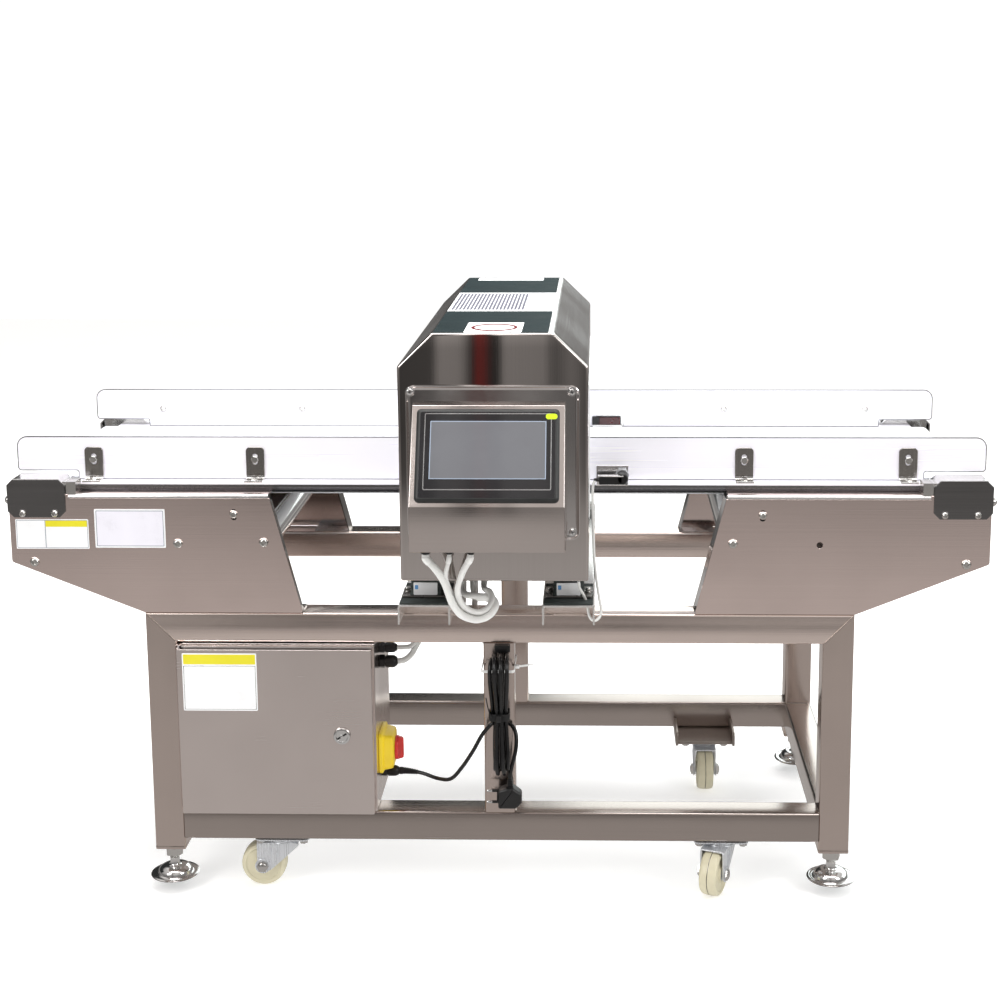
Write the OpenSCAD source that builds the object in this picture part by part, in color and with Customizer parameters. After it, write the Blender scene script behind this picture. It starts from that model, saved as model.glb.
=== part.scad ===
// Conveyor food metal detector on a square-tube stand.
// X runs along the belt, -Y is the operator's side, +Z is up, millimetres.
// Pieces are drawn with y = 0 on the front face of the stand and z = 0 on the floor,
// and place() then moves them so that the origin is the middle of the footprint.

/* [Stand] */
// Outside size of the square tube
tube = 50; // [40:1:60]
// Wall of the square tube
tube_wall = 2; // [1:0.5:4]
// Length of the stand over its legs
frame_l = 1147; // [1130:1:1250]
// Depth of the stand over its legs
frame_w = 560; // [540:1:620]
// Height of the top beams
frame_top = 482; // [470:1:520]
// Height of the lower rails' top face
low_rail_top = 142; // [138:1:180]
// Height of the underside of the legs
leg_bottom = 73; // [68:1:80]
// Thickness of the plate that closes a leg
leg_plate_t = 6; // [4:1:10]

/* [Levelling feet] */
// Diameter of the foot pad
pad_d = 80; // [60:1:90]
// Gap from the floor to the pad while the stand rolls
pad_lift = 20; // [12:1:24]
// Diameter of the threaded stem
stem_d = 16; // [10:1:20]
// Height of the domed pad
pad_h = 17; // [12:1:20]
// Thickness of the hexagon nuts on the stem
stem_nut_t = 10; // [6:1:12]

/* [Casters] */
// Wheel diameter
wheel_d = 75; // [60:1:75]
// Wheel width
wheel_w = 32; // [24:1:36]
// Distance of the wheel's axle behind the swivel
caster_trail = 34; // [28:1:40]
// Diameter of the wheel's axle bolt
axle_d = 12; // [8:1:14]
// Distance from the stand's ends to each swivel
caster_in = 208.5; // [155:0.5:250]
// Swivel centre behind the stand's front face
caster_inset_front = 36; // [30:1:60]
// Swivel centre in front of the stand's back face
caster_inset_back = 90; // [60:1:110]

/* [Conveyor] */
// Height of the slider bed that carries the belt
deck_top = 690; // [680:1:705]
// Half length of the belt between its end rollers' axes
end_roller_x = 766; // [740:1:772]
// Diameter of the end rollers
end_roller_d = 24; // [20:1:26]
// Distance from the stand's faces to the belt's edges
belt_margin = 70; // [68:1:100]
// Thickness of the belt
belt_t = 2; // [1:0.5:3]
// Gap from the belt's edges to the side guards
guard_clear = 10; // [8:1:13]
// Height of the guards' top edge
guard_top = 761; // [740:1:790]
// Thickness of the guards
guard_t = 2; // [1.5:0.5:3]
// Distance from the end rollers' axes to the guards' ends
guard_over = 21; // [14:1:34]
// Diameter of the drive drum
drum_d = 90; // [70:1:92]
// Diameter of the return rollers and the tie tubes
return_d = 38; // [30:1:40]

/* [Wing housings] */
// Distance from the middle to a wing's inner lower corner
wing_in_low = 316; // [300:1:330]
// Distance from the middle to a wing's inner upper corner
wing_in_top = 366; // [350:1:372]
// Distance from the end rollers' axes to a wing's outer edge
wing_over = 19; // [16:1:34]
// Height of a wing's outer lower corner
wing_low_z = 566; // [540:1:580]
// Thickness of the wing plates
wing_t = 2; // [1.5:0.5:3]

/* [Detector head] */
// Half width of the head along the belt
head_half = 146; // [130:1:150]
// Half width of the head's flat crest
crest_half = 93; // [80:1:110]
// Height of the head's underside
head_bottom = 562; // [555:1:570]
// Height of the head's crest over the tunnel's roof
roof_h = 110; // [100:1:138]
// Height of the chamfers, from their lower edge to the crest
crest_drop = 52; // [38:1:62]
// Distance that the head stands out in front of the stand
head_front = 89; // [80:1:100]
// Distance that the head stands out behind the stand
head_back = 139; // [100:1:180]
// Sheet thickness of the head
head_wall = 3; // [2:0.5:4]
// Clear height over the belt in the tunnel
tunnel_h = 150; // [140:1:170]
// Gap from the bed's edge to the tunnel's side
tunnel_side_gap = 13; // [8:1:16]

/* [Operator panel] */
// Width of the panel housing
panel_w = 232; // [224:1:240]
// Distance that the housing stands out from the head
panel_d = 95; // [85:1:110]
// Width of the housing's rim
rim_w = 267; // [264:1:276]
// Width of the touch display
display_w = 216; // [180:1:224]
// Height of the touch display along the slope
display_h = 146; // [130:1:150]

/* [Control cabinet] */
// Left edge of the cabinet from the middle
cabinet_left = 523; // [515:1:523]
// Right edge of the cabinet from the middle
cabinet_right = 202; // [190:1:230]
// Depth of the cabinet behind the stand's front face
cabinet_depth = 180; // [150:1:220]
// Depth of the door's tray
door_t = 17; // [14:1:22]
// Sheet thickness of cabinet and door
sheet = 1.5; // [1:0.5:2]

/* [Mains lead] */
// Diameter of the mains lead
lead_d = 6.4; // [5:0.1:6.6]

/* [Hidden] */
$fn = 48;

// Clearances that many pieces share
run_gap = 0.05;
fit_gap = 0.3;
overcut = 1;

// Sheet thickness of the panel's rim and of the end caps
rim_t = 3;
cap_t = 2;

// Places that follow from the sizes above
front_y = 0;
back_y = frame_w;
mid_y = frame_w / 2;
half_l = frame_l / 2;
caster_x = half_l - caster_in;
tunnel_z1 = deck_top + belt_t + tunnel_h;
head_top = tunnel_z1 + roof_h;
head_chamfer = head_top - crest_drop;
belt_w = frame_w - 2 * belt_margin;
guard_gap = belt_w + 2 * guard_clear;
guard_half = end_roller_x + guard_over;
wing_out = end_roller_x + wing_over;
head_y0 = front_y - head_front;
head_y1 = back_y + head_back;
panel_y0 = head_y0 - rim_t - panel_d;
rail_low_z = low_rail_top - tube;
SIDES = [-1, 1];

// The two ends of the stand and its two faces, as [x sign, y sign, name order]
CORNERS = [[-1, -1], [1, -1], [-1, 1], [1, 1]];

module place() translate([0, row_y, 0]) children();

// Box between two opposite corners
module bar(low, high) translate(low) cube(high - low);

// Round rods along each axis
module rod_x(x0, x1, y, z, r) translate([x0, y, z]) rotate([0, 90, 0]) cylinder(h = x1 - x0, r = r);
module rod_y(x, y0, y1, z, r) translate([x, y0, z]) rotate([-90, 0, 0]) cylinder(h = y1 - y0, r = r);
module rod_z(x, y, z0, z1, r) translate([x, y, z0]) cylinder(h = z1 - z0, r = r);

// Profile drawn in X and Z, carried along Y from y0 to y1
module along_y(y0, y1) translate([0, y1, 0]) rotate([90, 0, 0]) linear_extrude(height = y1 - y0) children();

// Profile drawn in Y and Z, carried along X from x0 to x1
module along_x(x0, x1) translate([x0, 0, 0]) rotate([90, 0, 90]) linear_extrude(height = x1 - x0) children();

// Flat shape with round corners between two opposite corners
module round_rect(low, high, r) {
    translate([low.x + r, low.y]) square([high.x - low.x - 2 * r, high.y - low.y]);
    translate([low.x, low.y + r]) square([high.x - low.x, high.y - low.y - 2 * r]);
    for (x = [low.x + r, high.x - r], y = [low.y + r, high.y - r]) translate([x, y]) circle(r);
}

// Copies the children on the front and, mirrored, on the back of the stand
module both_faces() {
    children();
    translate([0, frame_w, 0]) mirror([0, 1, 0]) children();
}

// Copies the children on the right and, mirrored, on the left
module both_ends() {
    children();
    mirror([1, 0, 0]) children();
}

// Stand

module leg_outline() polygon([
    [half_l - tube, leg_bottom + leg_plate_t], [half_l, leg_bottom + leg_plate_t],
    [half_l, frame_top], [half_l - tube, frame_top - tube]
]);

module beam_outline() polygon([
    [-half_l, frame_top], [half_l, frame_top],
    [half_l - tube, frame_top - tube], [tube - half_l, frame_top - tube]
]);

module frame_legs() color("silver") both_faces() both_ends() difference() {
    along_y(front_y, tube) leg_outline();
    bar([half_l - tube + tube_wall, tube_wall, leg_bottom],
        [half_l - tube_wall, tube - tube_wall, frame_top - tube_wall]);
}

module frame_long_rails() color("silver") both_faces() {
    difference() {
        along_y(front_y, tube) beam_outline();
        bar([-half_l + tube_wall, tube_wall, frame_top - tube + tube_wall],
            [half_l - tube_wall, tube - tube_wall, frame_top - tube_wall]);
    }
    difference() {
        bar([tube - half_l, 0, rail_low_z], [half_l - tube, tube, low_rail_top]);
        bar([-half_l, tube_wall, rail_low_z + tube_wall],
            [half_l, tube - tube_wall, low_rail_top - tube_wall]);
    }
}

module frame_end_rails() color("silver") both_ends() for (top = [frame_top, low_rail_top]) difference() {
    bar([half_l - tube, tube, top - tube], [half_l, frame_w - tube, top]);
    bar([half_l - tube + tube_wall, 0, top - tube + tube_wall],
        [half_l - tube_wall, frame_w, top - tube_wall]);
}

module frame_posts() color("silver") both_faces() difference() {
    bar([-tube / 2, 0, low_rail_top], [tube / 2, tube, frame_top - tube]);
    bar([-tube / 2 + tube_wall, tube_wall, rail_low_z],
        [tube / 2 - tube_wall, tube - tube_wall, frame_top]);
}

// Plates that close the legs, and the brackets that carry the casters

bracket_w = 112;
bracket_t = 5;
bracket_reach = 45;
bracket_lip = 26;
plate_l = 92;
plate_w = 76;
plate_t = 3;
plate_bolt_l = 72;
plate_bolt_w = 54;
m8 = 8;
bracket_z = rail_low_z - bracket_t;
caster_top = bracket_z - plate_t;

function caster_y(side) = side < 0 ? caster_inset_front : frame_w - caster_inset_back;

module leg_plate() difference() {
    bar([half_l - tube, 0, leg_bottom], [half_l, tube, leg_bottom + leg_plate_t]);
    rod_z(half_l - tube / 2, tube / 2, leg_bottom - overcut,
        leg_bottom + leg_plate_t + overcut, stem_d / 2 + run_gap);
}

// Bracket under a lower rail; its ends turn up inside the stand, clear of the rail
module caster_bracket(side) {
    inner = caster_y(side) - side * bracket_reach;
    outer = side < 0 ? 0 : frame_w;
    rail_inner = side < 0 ? tube : frame_w - tube;
    low_y = min(inner, outer);
    high_y = max(inner, outer);
    lip_y0 = side < 0 ? rail_inner + fit_gap : low_y;
    lip_y1 = side < 0 ? high_y : rail_inner - fit_gap;
    difference() {
        union() {
            bar([-bracket_w / 2, low_y, bracket_z], [bracket_w / 2, high_y, rail_low_z]);
            for (s = SIDES) bar(
                [s * bracket_w / 2 - (s > 0 ? bracket_t : 0), lip_y0, bracket_z],
                [s * bracket_w / 2 + (s > 0 ? 0 : bracket_t), lip_y1, bracket_z + bracket_lip]);
        }
        for (x = SIDES, y = SIDES) rod_z(x * plate_bolt_l / 2, caster_y(side) + y * plate_bolt_w / 2,
            bracket_z - overcut, rail_low_z + overcut, m8 / 2 + run_gap);
    }
}

module caster_plate(side) difference() {
    bar([-plate_l / 2, caster_y(side) - plate_w / 2, caster_top],
        [plate_l / 2, caster_y(side) + plate_w / 2, bracket_z]);
    for (x = SIDES, y = SIDES) rod_z(x * plate_bolt_l / 2, caster_y(side) + y * plate_bolt_w / 2,
        caster_top - overcut, bracket_z + overcut, m8 / 2 + run_gap);
    rod_z(0, caster_y(side), caster_top - overcut, bracket_z + overcut, kingpin_d / 2 + run_gap);
}

module mounting_plates() color("silver") {
    both_faces() both_ends() leg_plate();
    for (x = SIDES, side = SIDES) translate([x * caster_x, 0, 0]) {
        caster_bracket(side);
        caster_plate(side);
    }
}

// Levelling feet

stem_in_leg = 40;
stem_top = leg_bottom + stem_in_leg;
stem_flat = 24;
pad_rim = 5;
pad_neck = 15;
pad_bottom = pad_lift;

module levelling_foot() {
    rotate_extrude() polygon([
        [0, pad_bottom], [pad_d / 2, pad_bottom], [pad_d / 2, pad_bottom + pad_rim],
        [(pad_d + 2 * pad_neck) / 4, pad_bottom + (pad_h + pad_rim) / 2],
        [pad_neck, pad_bottom + pad_h], [0, pad_bottom + pad_h]
    ]);
    translate([0, 0, pad_bottom + pad_h]) cylinder(h = stem_nut_t, d = stem_flat / cos(30), $fn = 6);
    rod_z(0, 0, pad_bottom + pad_h + stem_nut_t, stem_top, stem_d / 2);
}

module foot(corner) color("gainsboro") translate([
    corner.x * (half_l - tube / 2), corner.y < 0 ? tube / 2 : frame_w - tube / 2, 0
]) levelling_foot();

// Casters. A fork is drawn with its wheel trailing towards -X, then turned about its swivel

kingpin_d = 14;
race_r = 27;
race_t = 5;
crown_t = 2.5;
fork_t = 3;
fork_gap = 1.5;
fork_z = wheel_d / 2;
crown_top = caster_top - fit_gap;
crown_low = crown_top - race_t;
cap_nut_t = 7;
cap_nut_r = 10;
fork_eye_r = 13;

// Turn of each fork about its swivel, in degrees
FORK_TURN = [0, 68, 36, 90];

fork_in = wheel_w / 2 + fork_gap;
fork_out = fork_in + fork_t;

module fork_cheek_outline() {
    polygon([
        [-race_r, crown_low - crown_t], [race_r, crown_low - crown_t],
        [race_r, crown_low - 2 * crown_t], [-caster_trail + fork_eye_r, fork_z - fork_eye_r / 2],
        [-caster_trail - fork_eye_r, fork_z]
    ]);
    translate([-caster_trail, fork_z]) circle(fork_eye_r);
}

module caster_fork() {
    difference() {
        union() {
            rod_z(0, 0, crown_low, crown_top, race_r);
            bar([-race_r, -fork_out, crown_low - crown_t], [race_r, fork_out, crown_low]);
            for (s = SIDES) along_y(s > 0 ? fork_in : -fork_out, s > 0 ? fork_out : -fork_in)
                fork_cheek_outline();
        }
        rod_y(-caster_trail, -fork_out - overcut, fork_out + overcut, fork_z, axle_d / 2);
    }
    rod_z(0, 0, crown_top, bracket_z - fit_gap, kingpin_d / 2);
    rod_y(-caster_trail, -fork_out, fork_out, fork_z, axle_d / 2);
    for (s = SIDES) rod_y(-caster_trail, s > 0 ? fork_out : -fork_out - cap_nut_t,
        s > 0 ? fork_out + cap_nut_t : -fork_out, fork_z, cap_nut_r);
}

hub_r = 15;
hub_recess = 5;
tread_edge = 4;

module caster_wheel() translate([-caster_trail, 0, fork_z]) rotate([90, 0, 0]) rotate_extrude() polygon([
    [axle_d / 2 + run_gap, -wheel_w / 2], [hub_r, -wheel_w / 2],
    [hub_r + hub_recess, hub_recess - wheel_w / 2], [wheel_d / 2 - 2 * tread_edge, hub_recess - wheel_w / 2],
    [wheel_d / 2 - tread_edge, -wheel_w / 2 + run_gap], [wheel_d / 2, tread_edge - wheel_w / 2],
    [wheel_d / 2, wheel_w / 2 - tread_edge], [wheel_d / 2 - tread_edge, wheel_w / 2 - run_gap],
    [wheel_d / 2 - 2 * tread_edge, wheel_w / 2 - hub_recess],
    [hub_r + hub_recess, wheel_w / 2 - hub_recess], [hub_r, wheel_w / 2],
    [axle_d / 2 + run_gap, wheel_w / 2]
]);

// Puts a caster piece at corner number i, turned as it stands
module at_caster(i) translate([CORNERS[i].x * caster_x, caster_y(CORNERS[i].y), 0])
    rotate([0, 0, FORK_TURN[i]]) children();

module fork(i) color("lightgray") at_caster(i) caster_fork();
module wheel(i) color("cornsilk") at_caster(i) caster_wheel();

// Conveyor

deck_t = 3;
bed_lip_h = 12;
bed_lip_t = 2;
deck_end_gap = 4;
bracket_foot = 25;
bracket_plate_t = 3;
bracket_plate_w = 30;
bracket_top = 54;
bracket_bolt_z = 34;
slot_h = 18;
guard_notch_z = 14;
guard_notch_x = 99;
guard_corner = 10;
beam_hole_d = 10;
bracket_in = 105;
bracket_share = 0.5183;
bracket_x1 = end_roller_x - bracket_in;
bracket_x0 = end_roller_x * bracket_share;
GUARD_BOLTS = [-bracket_x1, -bracket_x0, bracket_x0, bracket_x1];

guard_y = mid_y - guard_gap / 2 - guard_t;
bed_edge = guard_y - bracket_foot;
bed_low = deck_top - bed_lip_h;
deck_half = end_roller_x - end_roller_d / 2 - deck_end_gap;
return_z = deck_top - end_roller_d;
belt_y0 = mid_y - belt_w / 2;
belt_y1 = mid_y + belt_w / 2;
m6 = 6;

module slider_bed() color("silver") difference() {
    union() {
        bar([-deck_half, bed_edge, deck_top - deck_t], [deck_half, frame_w - bed_edge, deck_top]);
        both_faces() bar([-deck_half, bed_edge, bed_low], [deck_half, bed_edge + bed_lip_t, deck_top]);
    }
    for (x = GUARD_BOLTS, y = [bed_edge + bracket_foot / 2, frame_w - bed_edge - bracket_foot / 2])
        rod_z(x, y, deck_top - deck_t - overcut, deck_top + overcut, m6 / 2 + run_gap);
}

// Guard seen from the side: low in the middle, raised over the end caps
module guard_outline() difference() {
    round_rect([-guard_half, deck_top - 2 * guard_corner], [guard_half, guard_top], guard_corner);
    translate([-guard_half - overcut, deck_top - 2 * guard_corner - overcut])
        square([2 * guard_half + 2 * overcut, 2 * guard_corner + overcut]);
    for (s = SIDES) translate([s * guard_half - (s > 0 ? guard_notch_x : overcut), deck_top - overcut])
        square([guard_notch_x + overcut, guard_notch_z + overcut]);
    for (x = GUARD_BOLTS) translate([x, deck_top + bracket_bolt_z]) circle(m8 / 2 + run_gap);
}

module side_guards() color("white") difference() {
    both_faces() along_y(guard_y, guard_y + guard_t) guard_outline();
    rod_y(sensor_x, guard_y - overcut, guard_y + guard_t + overcut, sensor_z, beam_hole_d / 2);
}

module guard_bracket() difference() {
    union() {
        bar([-bracket_plate_w / 2, guard_y - bracket_plate_t, deck_top],
            [bracket_plate_w / 2, guard_y, deck_top + bracket_top]);
        bar([-bracket_plate_w / 2, bed_edge, deck_top],
            [bracket_plate_w / 2, guard_y, deck_top + bracket_plate_t]);
    }
    along_y(guard_y - bracket_plate_t - overcut, guard_y + overcut)
        translate([0, deck_top + bracket_bolt_z])
            round_rect([-m8 / 2 - run_gap, -slot_h / 2], [m8 / 2 + run_gap, slot_h / 2], m8 / 2);
    rod_z(0, bed_edge + bracket_foot / 2, deck_top - overcut,
        deck_top + bracket_plate_t + overcut, m6 / 2 + run_gap);
}

module guard_brackets() color("dimgray") both_faces() for (x = GUARD_BOLTS)
    translate([x, 0, 0]) guard_bracket();

// Belt and its rollers, as circles [x, z, radius of the belt's inner face];
// a minus sign marks a roller that bears on the outer face

return_x = 423;
drum_x = 514.5;
drum_z = 597;
tie_x = 376;
tie_z = 599;
shaft_d = 12;
drum_shaft_d = 20;

roller_z = deck_top - end_roller_d / 2;
return_roller_z = return_z - belt_t - return_d / 2;
BELT_CIRCLES = [
    [-end_roller_x, roller_z, end_roller_d / 2],
    [-drum_x, drum_z, drum_d / 2],
    [-return_x, return_roller_z, -return_d / 2 - belt_t],
    [end_roller_x, roller_z, end_roller_d / 2]
];

function unit(v) = v / norm(v);
function right_of(v) = [v.y, -v.x];

// Outward normal of the straight run from circle a to circle b
function run_normal(a, b) = let(d = [b.x - a.x, b.y - a.y], u = unit(d), k = (a.z - b.z) / norm(d))
    u * k + right_of(u) * sqrt(1 - k * k);

// Line of a band that runs round the circles in order, moved out by t. Bends are fine polygons,
// which stay clear of the rollers by less than their running gap
bend_step = 4;
full_turn = 360;
function angle_of(v) = atan2(v.y, v.x);
function bend(c, before, out, t) = let(
        s = sign(c.z),
        from = angle_of(s * before),
        to = angle_of(s * out),
        sweep = s * ((s * (to - from) + 2 * full_turn) % full_turn),
        n = ceil(abs(sweep) / bend_step)
    ) [for (i = [0:n]) [c.x, c.y] + (abs(c.z) + s * t) * [cos(from + sweep * i / n), sin(from + sweep * i / n)]];
function band_line(circles, t) = let(n = len(circles)) [
    for (i = [0:n - 1]) each bend(circles[i],
        run_normal(circles[(i + n - 1) % n], circles[i]), run_normal(circles[i], circles[(i + 1) % n]), t)
];

module band_outline(circles, t) difference() {
    polygon(band_line(circles, t));
    polygon(band_line(circles, 0));
}

module conveyor_belt() color("white") along_y(belt_y0, belt_y1) band_outline(BELT_CIRCLES, belt_t);

shaft_end = 1;
block_depth = 29;
block_y1 = wing_t + block_depth;

module roller(x, z, d, shaft, y0) {
    rod_y(x, belt_y0, belt_y1, z, d / 2 - run_gap);
    for (y = [[y0, belt_y0], [belt_y1, frame_w - y0]]) rod_y(x, y[0], y[1], z, shaft / 2);
}

module end_roller(side) color("silver")
    roller(side * end_roller_x, roller_z, end_roller_d, shaft_d, wing_t + shaft_end + fit_gap);
module return_roller(side) color("silver")
    roller(side * return_x, return_roller_z, return_d, shaft_d, wing_t + shaft_end);

pulley_r = 24;
pulley_w = 24;
pulley_flange = 4;
pulley_flange_t = 2;
timing_t = 4;
timing_y = 28;

// Toothless pulley with two flanges; the timing belt runs between them
module pulley(x, z) {
    rod_y(x, timing_y - fit_gap, timing_y + pulley_w + fit_gap, z, pulley_r - run_gap);
    for (y = [timing_y - fit_gap - pulley_flange_t, timing_y + pulley_w + fit_gap])
        rod_y(x, y, y + pulley_flange_t, z, pulley_r + pulley_flange);
}

module drive_drum() color("silver") {
    roller(-drum_x, drum_z, drum_d, drum_shaft_d, wing_t + shaft_end);
    pulley(-drum_x, drum_z);
}

// Wing housings

pan_t = 2;
pan_end_z = 638;
spare_hole_d = 10;
wing_flange = 43;
wing_bolt_in = 18;
wing_bolt_x = end_roller_x - wing_bolt_in;
wing_bolt_z = 566;
block_in = 90;
block_x0 = end_roller_x - block_in;
cap_bolt_in = 55;
cap_bolt_out = 3;
CAP_BOLTS = [end_roller_x - cap_bolt_in, end_roller_x - cap_bolt_out];
cap_bolt_z = 647;

// The gearmotor lies along Y behind the left wing's front plate, on a step of the pan
motor_x = 433;
motor_body = 70;
motor_d = 66;
gearhead_in = 70;
gearhead_len = 80;
motor_len = 100;
gearhead_y0 = gearhead_in;
gearhead_y1 = gearhead_y0 + gearhead_len;
motor_y1 = gearhead_y1 + motor_len;
motor_shaft_in = 20;
motor_z = frame_top + pan_t + motor_body / 2;
plate_margin = 15;
plate_x0 = motor_x - motor_body / 2 - plate_margin;
plate_y1 = motor_y1 + plate_margin;
pan_in = 456;

// Thickness of the slanted return along X
return_w = wing_t * norm([wing_in_top - wing_in_low, bed_low - frame_top]) / (bed_low - frame_top);

module wing_outline() difference() {
    polygon([
        [wing_in_low, frame_top], [half_l, frame_top], [wing_out, wing_low_z],
        [wing_out, bed_low], [wing_in_top, bed_low]
    ]);
    for (p = concat([[tie_x, tie_z], [wing_bolt_x, wing_bolt_z]], [for (x = CAP_BOLTS) [x, cap_bolt_z]]))
        translate(p) circle(m8 / 2 + run_gap);
    translate([drum_x, drum_z]) circle(spare_hole_d / 2);
    round_slot(return_x, return_roller_z);
}

module round_slot(x, z) translate([x, z])
    round_rect([-m8 / 2 - run_gap, -slot_h / 2], [m8 / 2 + run_gap, slot_h / 2], m8 / 2);

module wing_plates() color("silver") both_faces() both_ends() {
    along_y(front_y, wing_t) wing_outline();
    bar([wing_in_top, wing_t, bed_low - wing_t], [block_x0, wing_flange, bed_low]);
    bar([wing_in_low, wing_t, frame_top], [plate_x0, wing_flange, frame_top + wing_t]);
    along_y(wing_t, wing_flange) polygon([
        [wing_in_low, frame_top], [wing_in_low + return_w, frame_top],
        [wing_in_top + return_w, bed_low], [wing_in_top, bed_low]
    ]);
}

module wing_pans() color("gray") both_ends() {
    along_y(wing_t, frame_w - wing_t) polygon([
        [pan_in, frame_top], [half_l, frame_top], [wing_out, wing_low_z], [wing_out, pan_end_z],
        [wing_out - pan_t, pan_end_z], [wing_out - pan_t, wing_low_z + pan_t],
        [half_l, frame_top + pan_t], [pan_in, frame_top + pan_t]
    ]);
    bar([plate_x0, wing_t, frame_top], [pan_in + pan_t, plate_y1, frame_top + pan_t]);
}

module tie_tubes() color("silver") both_ends() difference() {
    rod_y(tie_x, wing_t, frame_w - wing_t, tie_z, return_d / 2);
    for (y = [wing_t, frame_w - wing_t - tube_plug_t])
        rod_y(tie_x, y - overcut, y + tube_plug_t + overcut, tie_z, m8 / 2 + run_gap);
    rod_y(tie_x, wing_t + tube_plug_t, frame_w - wing_t - tube_plug_t, tie_z, return_d / 2 - wing_t);
}
tube_plug_t = 10;

bearing_t = 12;
bearing_wall = 8;

module bearing(x, z, bore_d) difference() {
    rod_y(x, wing_t, wing_t + bearing_t, z, bore_d / 2 + bearing_wall);
    rod_y(x, wing_t - overcut, wing_t + bearing_t + overcut, z, bore_d / 2 + run_gap);
}

module shaft_bearings() color("dimgray") both_faces() {
    bearing(-drum_x, drum_z, drum_shaft_d);
    both_ends() bearing(return_x, return_roller_z, shaft_d);
}

// Plastic slide blocks that hold the end rollers, behind the end caps

block_x1 = wing_out - pan_t - fit_gap;
block_z0 = 656;
block_z1 = 698;
block_chamfer = 4;
screw_z = 665;
screw_y = 16;

module bearing_blocks() color("black") both_faces() both_ends() difference() {
    along_y(wing_t, block_y1) polygon([
        [block_x0 + fit_gap, block_z0], [block_x1, block_z0], [block_x1, block_z1 - block_chamfer],
        [block_x1 - block_chamfer, block_z1], [block_x0 + fit_gap, block_z1]
    ]);
    rod_y(end_roller_x, wing_t + shaft_end, block_y1 + overcut, roller_z, shaft_d / 2 + run_gap);
}

// Bent covers over the end roller's blocks

cap_in = 73;
cap_x0 = end_roller_x - cap_in;
cap_x1 = wing_out + cap_t;
cap_z0 = 640;
cap_z1 = 703;
cap_depth = 45;
cap_corner = 10;

module cap_outline() polygon([
    [cap_x0, cap_z0 + cap_corner], [cap_x0 + cap_corner, cap_z0], [cap_x1 - cap_corner, cap_z0],
    [cap_x1, cap_z0 + cap_corner], [cap_x1, cap_z1 - cap_corner], [cap_x1 - cap_corner, cap_z1],
    [cap_x0 + cap_corner, cap_z1], [cap_x0, cap_z1 - cap_corner]
]);

module end_caps() color("dimgray") both_faces() both_ends() difference() {
    union() {
        along_y(front_y - cap_t, front_y) cap_outline();
        along_y(front_y, cap_depth) difference() {
            cap_outline();
            polygon([
                [cap_x0 + cap_t, cap_z0 - overcut], [cap_x1 - cap_t, cap_z0 - overcut],
                [cap_x1 - cap_t, cap_z1 - cap_corner], [cap_x1 - cap_corner, cap_z1 - cap_t],
                [cap_x0 + cap_corner, cap_z1 - cap_t], [cap_x0 + cap_t, cap_z1 - cap_corner]
            ]);
        }
    }
    bar([cap_x0 - overcut, front_y, cap_z0 - overcut], [wing_out + overcut, wing_t + run_gap, bed_low]);
    bar([cap_x0 - overcut, front_y, cap_z0 - overcut], [cap_x1 - cap_t, cap_depth + overcut, block_z0]);
    bar([cap_x0 - overcut, front_y, cap_z0 - overcut], [cap_x0 + cap_corner, cap_depth + overcut, block_z1 + fit_gap]);
    for (x = CAP_BOLTS) rod_y(x, -cap_t - overcut, overcut, cap_bolt_z, m8 / 2 + run_gap);
    rod_x(block_x1, cap_x1 + overcut, screw_y, screw_z, m8 / 2 + run_gap);
}

// Drive: gearmotor on the left wing's pan, and a timing belt to the drum

module gearmotor() color("slategray") {
    difference() {
        bar([-motor_x - motor_body / 2, gearhead_y0, motor_z - motor_body / 2],
            [-motor_x + motor_body / 2, gearhead_y1, motor_z + motor_body / 2]);
        rod_y(-motor_x, gearhead_y0 - overcut, gearhead_y0 + motor_shaft_in, motor_z, shaft_d / 2 + run_gap);
    }
    rod_y(-motor_x, gearhead_y1, motor_y1, motor_z, motor_d / 2);
}

module motor_pulley() color("silver") {
    pulley(-motor_x, motor_z);
    rod_y(-motor_x, timing_y + pulley_w + fit_gap + pulley_flange_t,
        gearhead_y0 + motor_shaft_in - fit_gap, motor_z, shaft_d / 2);
}

module timing_belt() color("black") along_y(timing_y, timing_y + pulley_w) band_outline([
    [-motor_x, motor_z, pulley_r], [-drum_x, drum_z, pulley_r]
], timing_t);

// Detector head

cover_t = 3;
bevel_share = 0.414;
liner_t = 5;
liner_flange = 14;
liner_flange_t = 2;
tunnel_under = 12;
coil_margin = 50;
coil_half = 108;
tunnel_y0 = bed_edge - tunnel_side_gap;
tunnel_y1 = frame_w - tunnel_y0;
tunnel_z0 = return_z - belt_t - tunnel_under;

// Section of the head across its depth, drawn in by a wall
module head_outline(in) {
    bevel = in * bevel_share;
    polygon([
        [in - head_half, head_bottom + in], [head_half - in, head_bottom + in],
        [head_half - in, head_chamfer - bevel], [crest_half - bevel, head_top - in],
        [bevel - crest_half, head_top - in], [in - head_half, head_chamfer - bevel]
    ]);
}

module tunnel_block(half, out) bar([-half, tunnel_y0 - out, tunnel_z0 - out],
    [half, tunnel_y1 + out, tunnel_z1 + out]);

module head_shell() color("lightgray") difference() {
    along_y(head_y0 + cover_t, head_y1 - cover_t) head_outline(0);
    along_y(head_y0, head_y1) head_outline(head_wall);
    tunnel_block(head_half + overcut, liner_t);
    for (x = SIDES, y = [isolator_y, frame_w - isolator_y])
        rod_z(x * channel_x, y, head_bottom - overcut, head_bottom + head_wall + overcut, m8 / 2 + run_gap);
}

module head_end_covers() color("gainsboro") for (y = [head_y0, head_y1 - cover_t])
    along_y(y, y + cover_t) head_outline(0);

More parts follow.
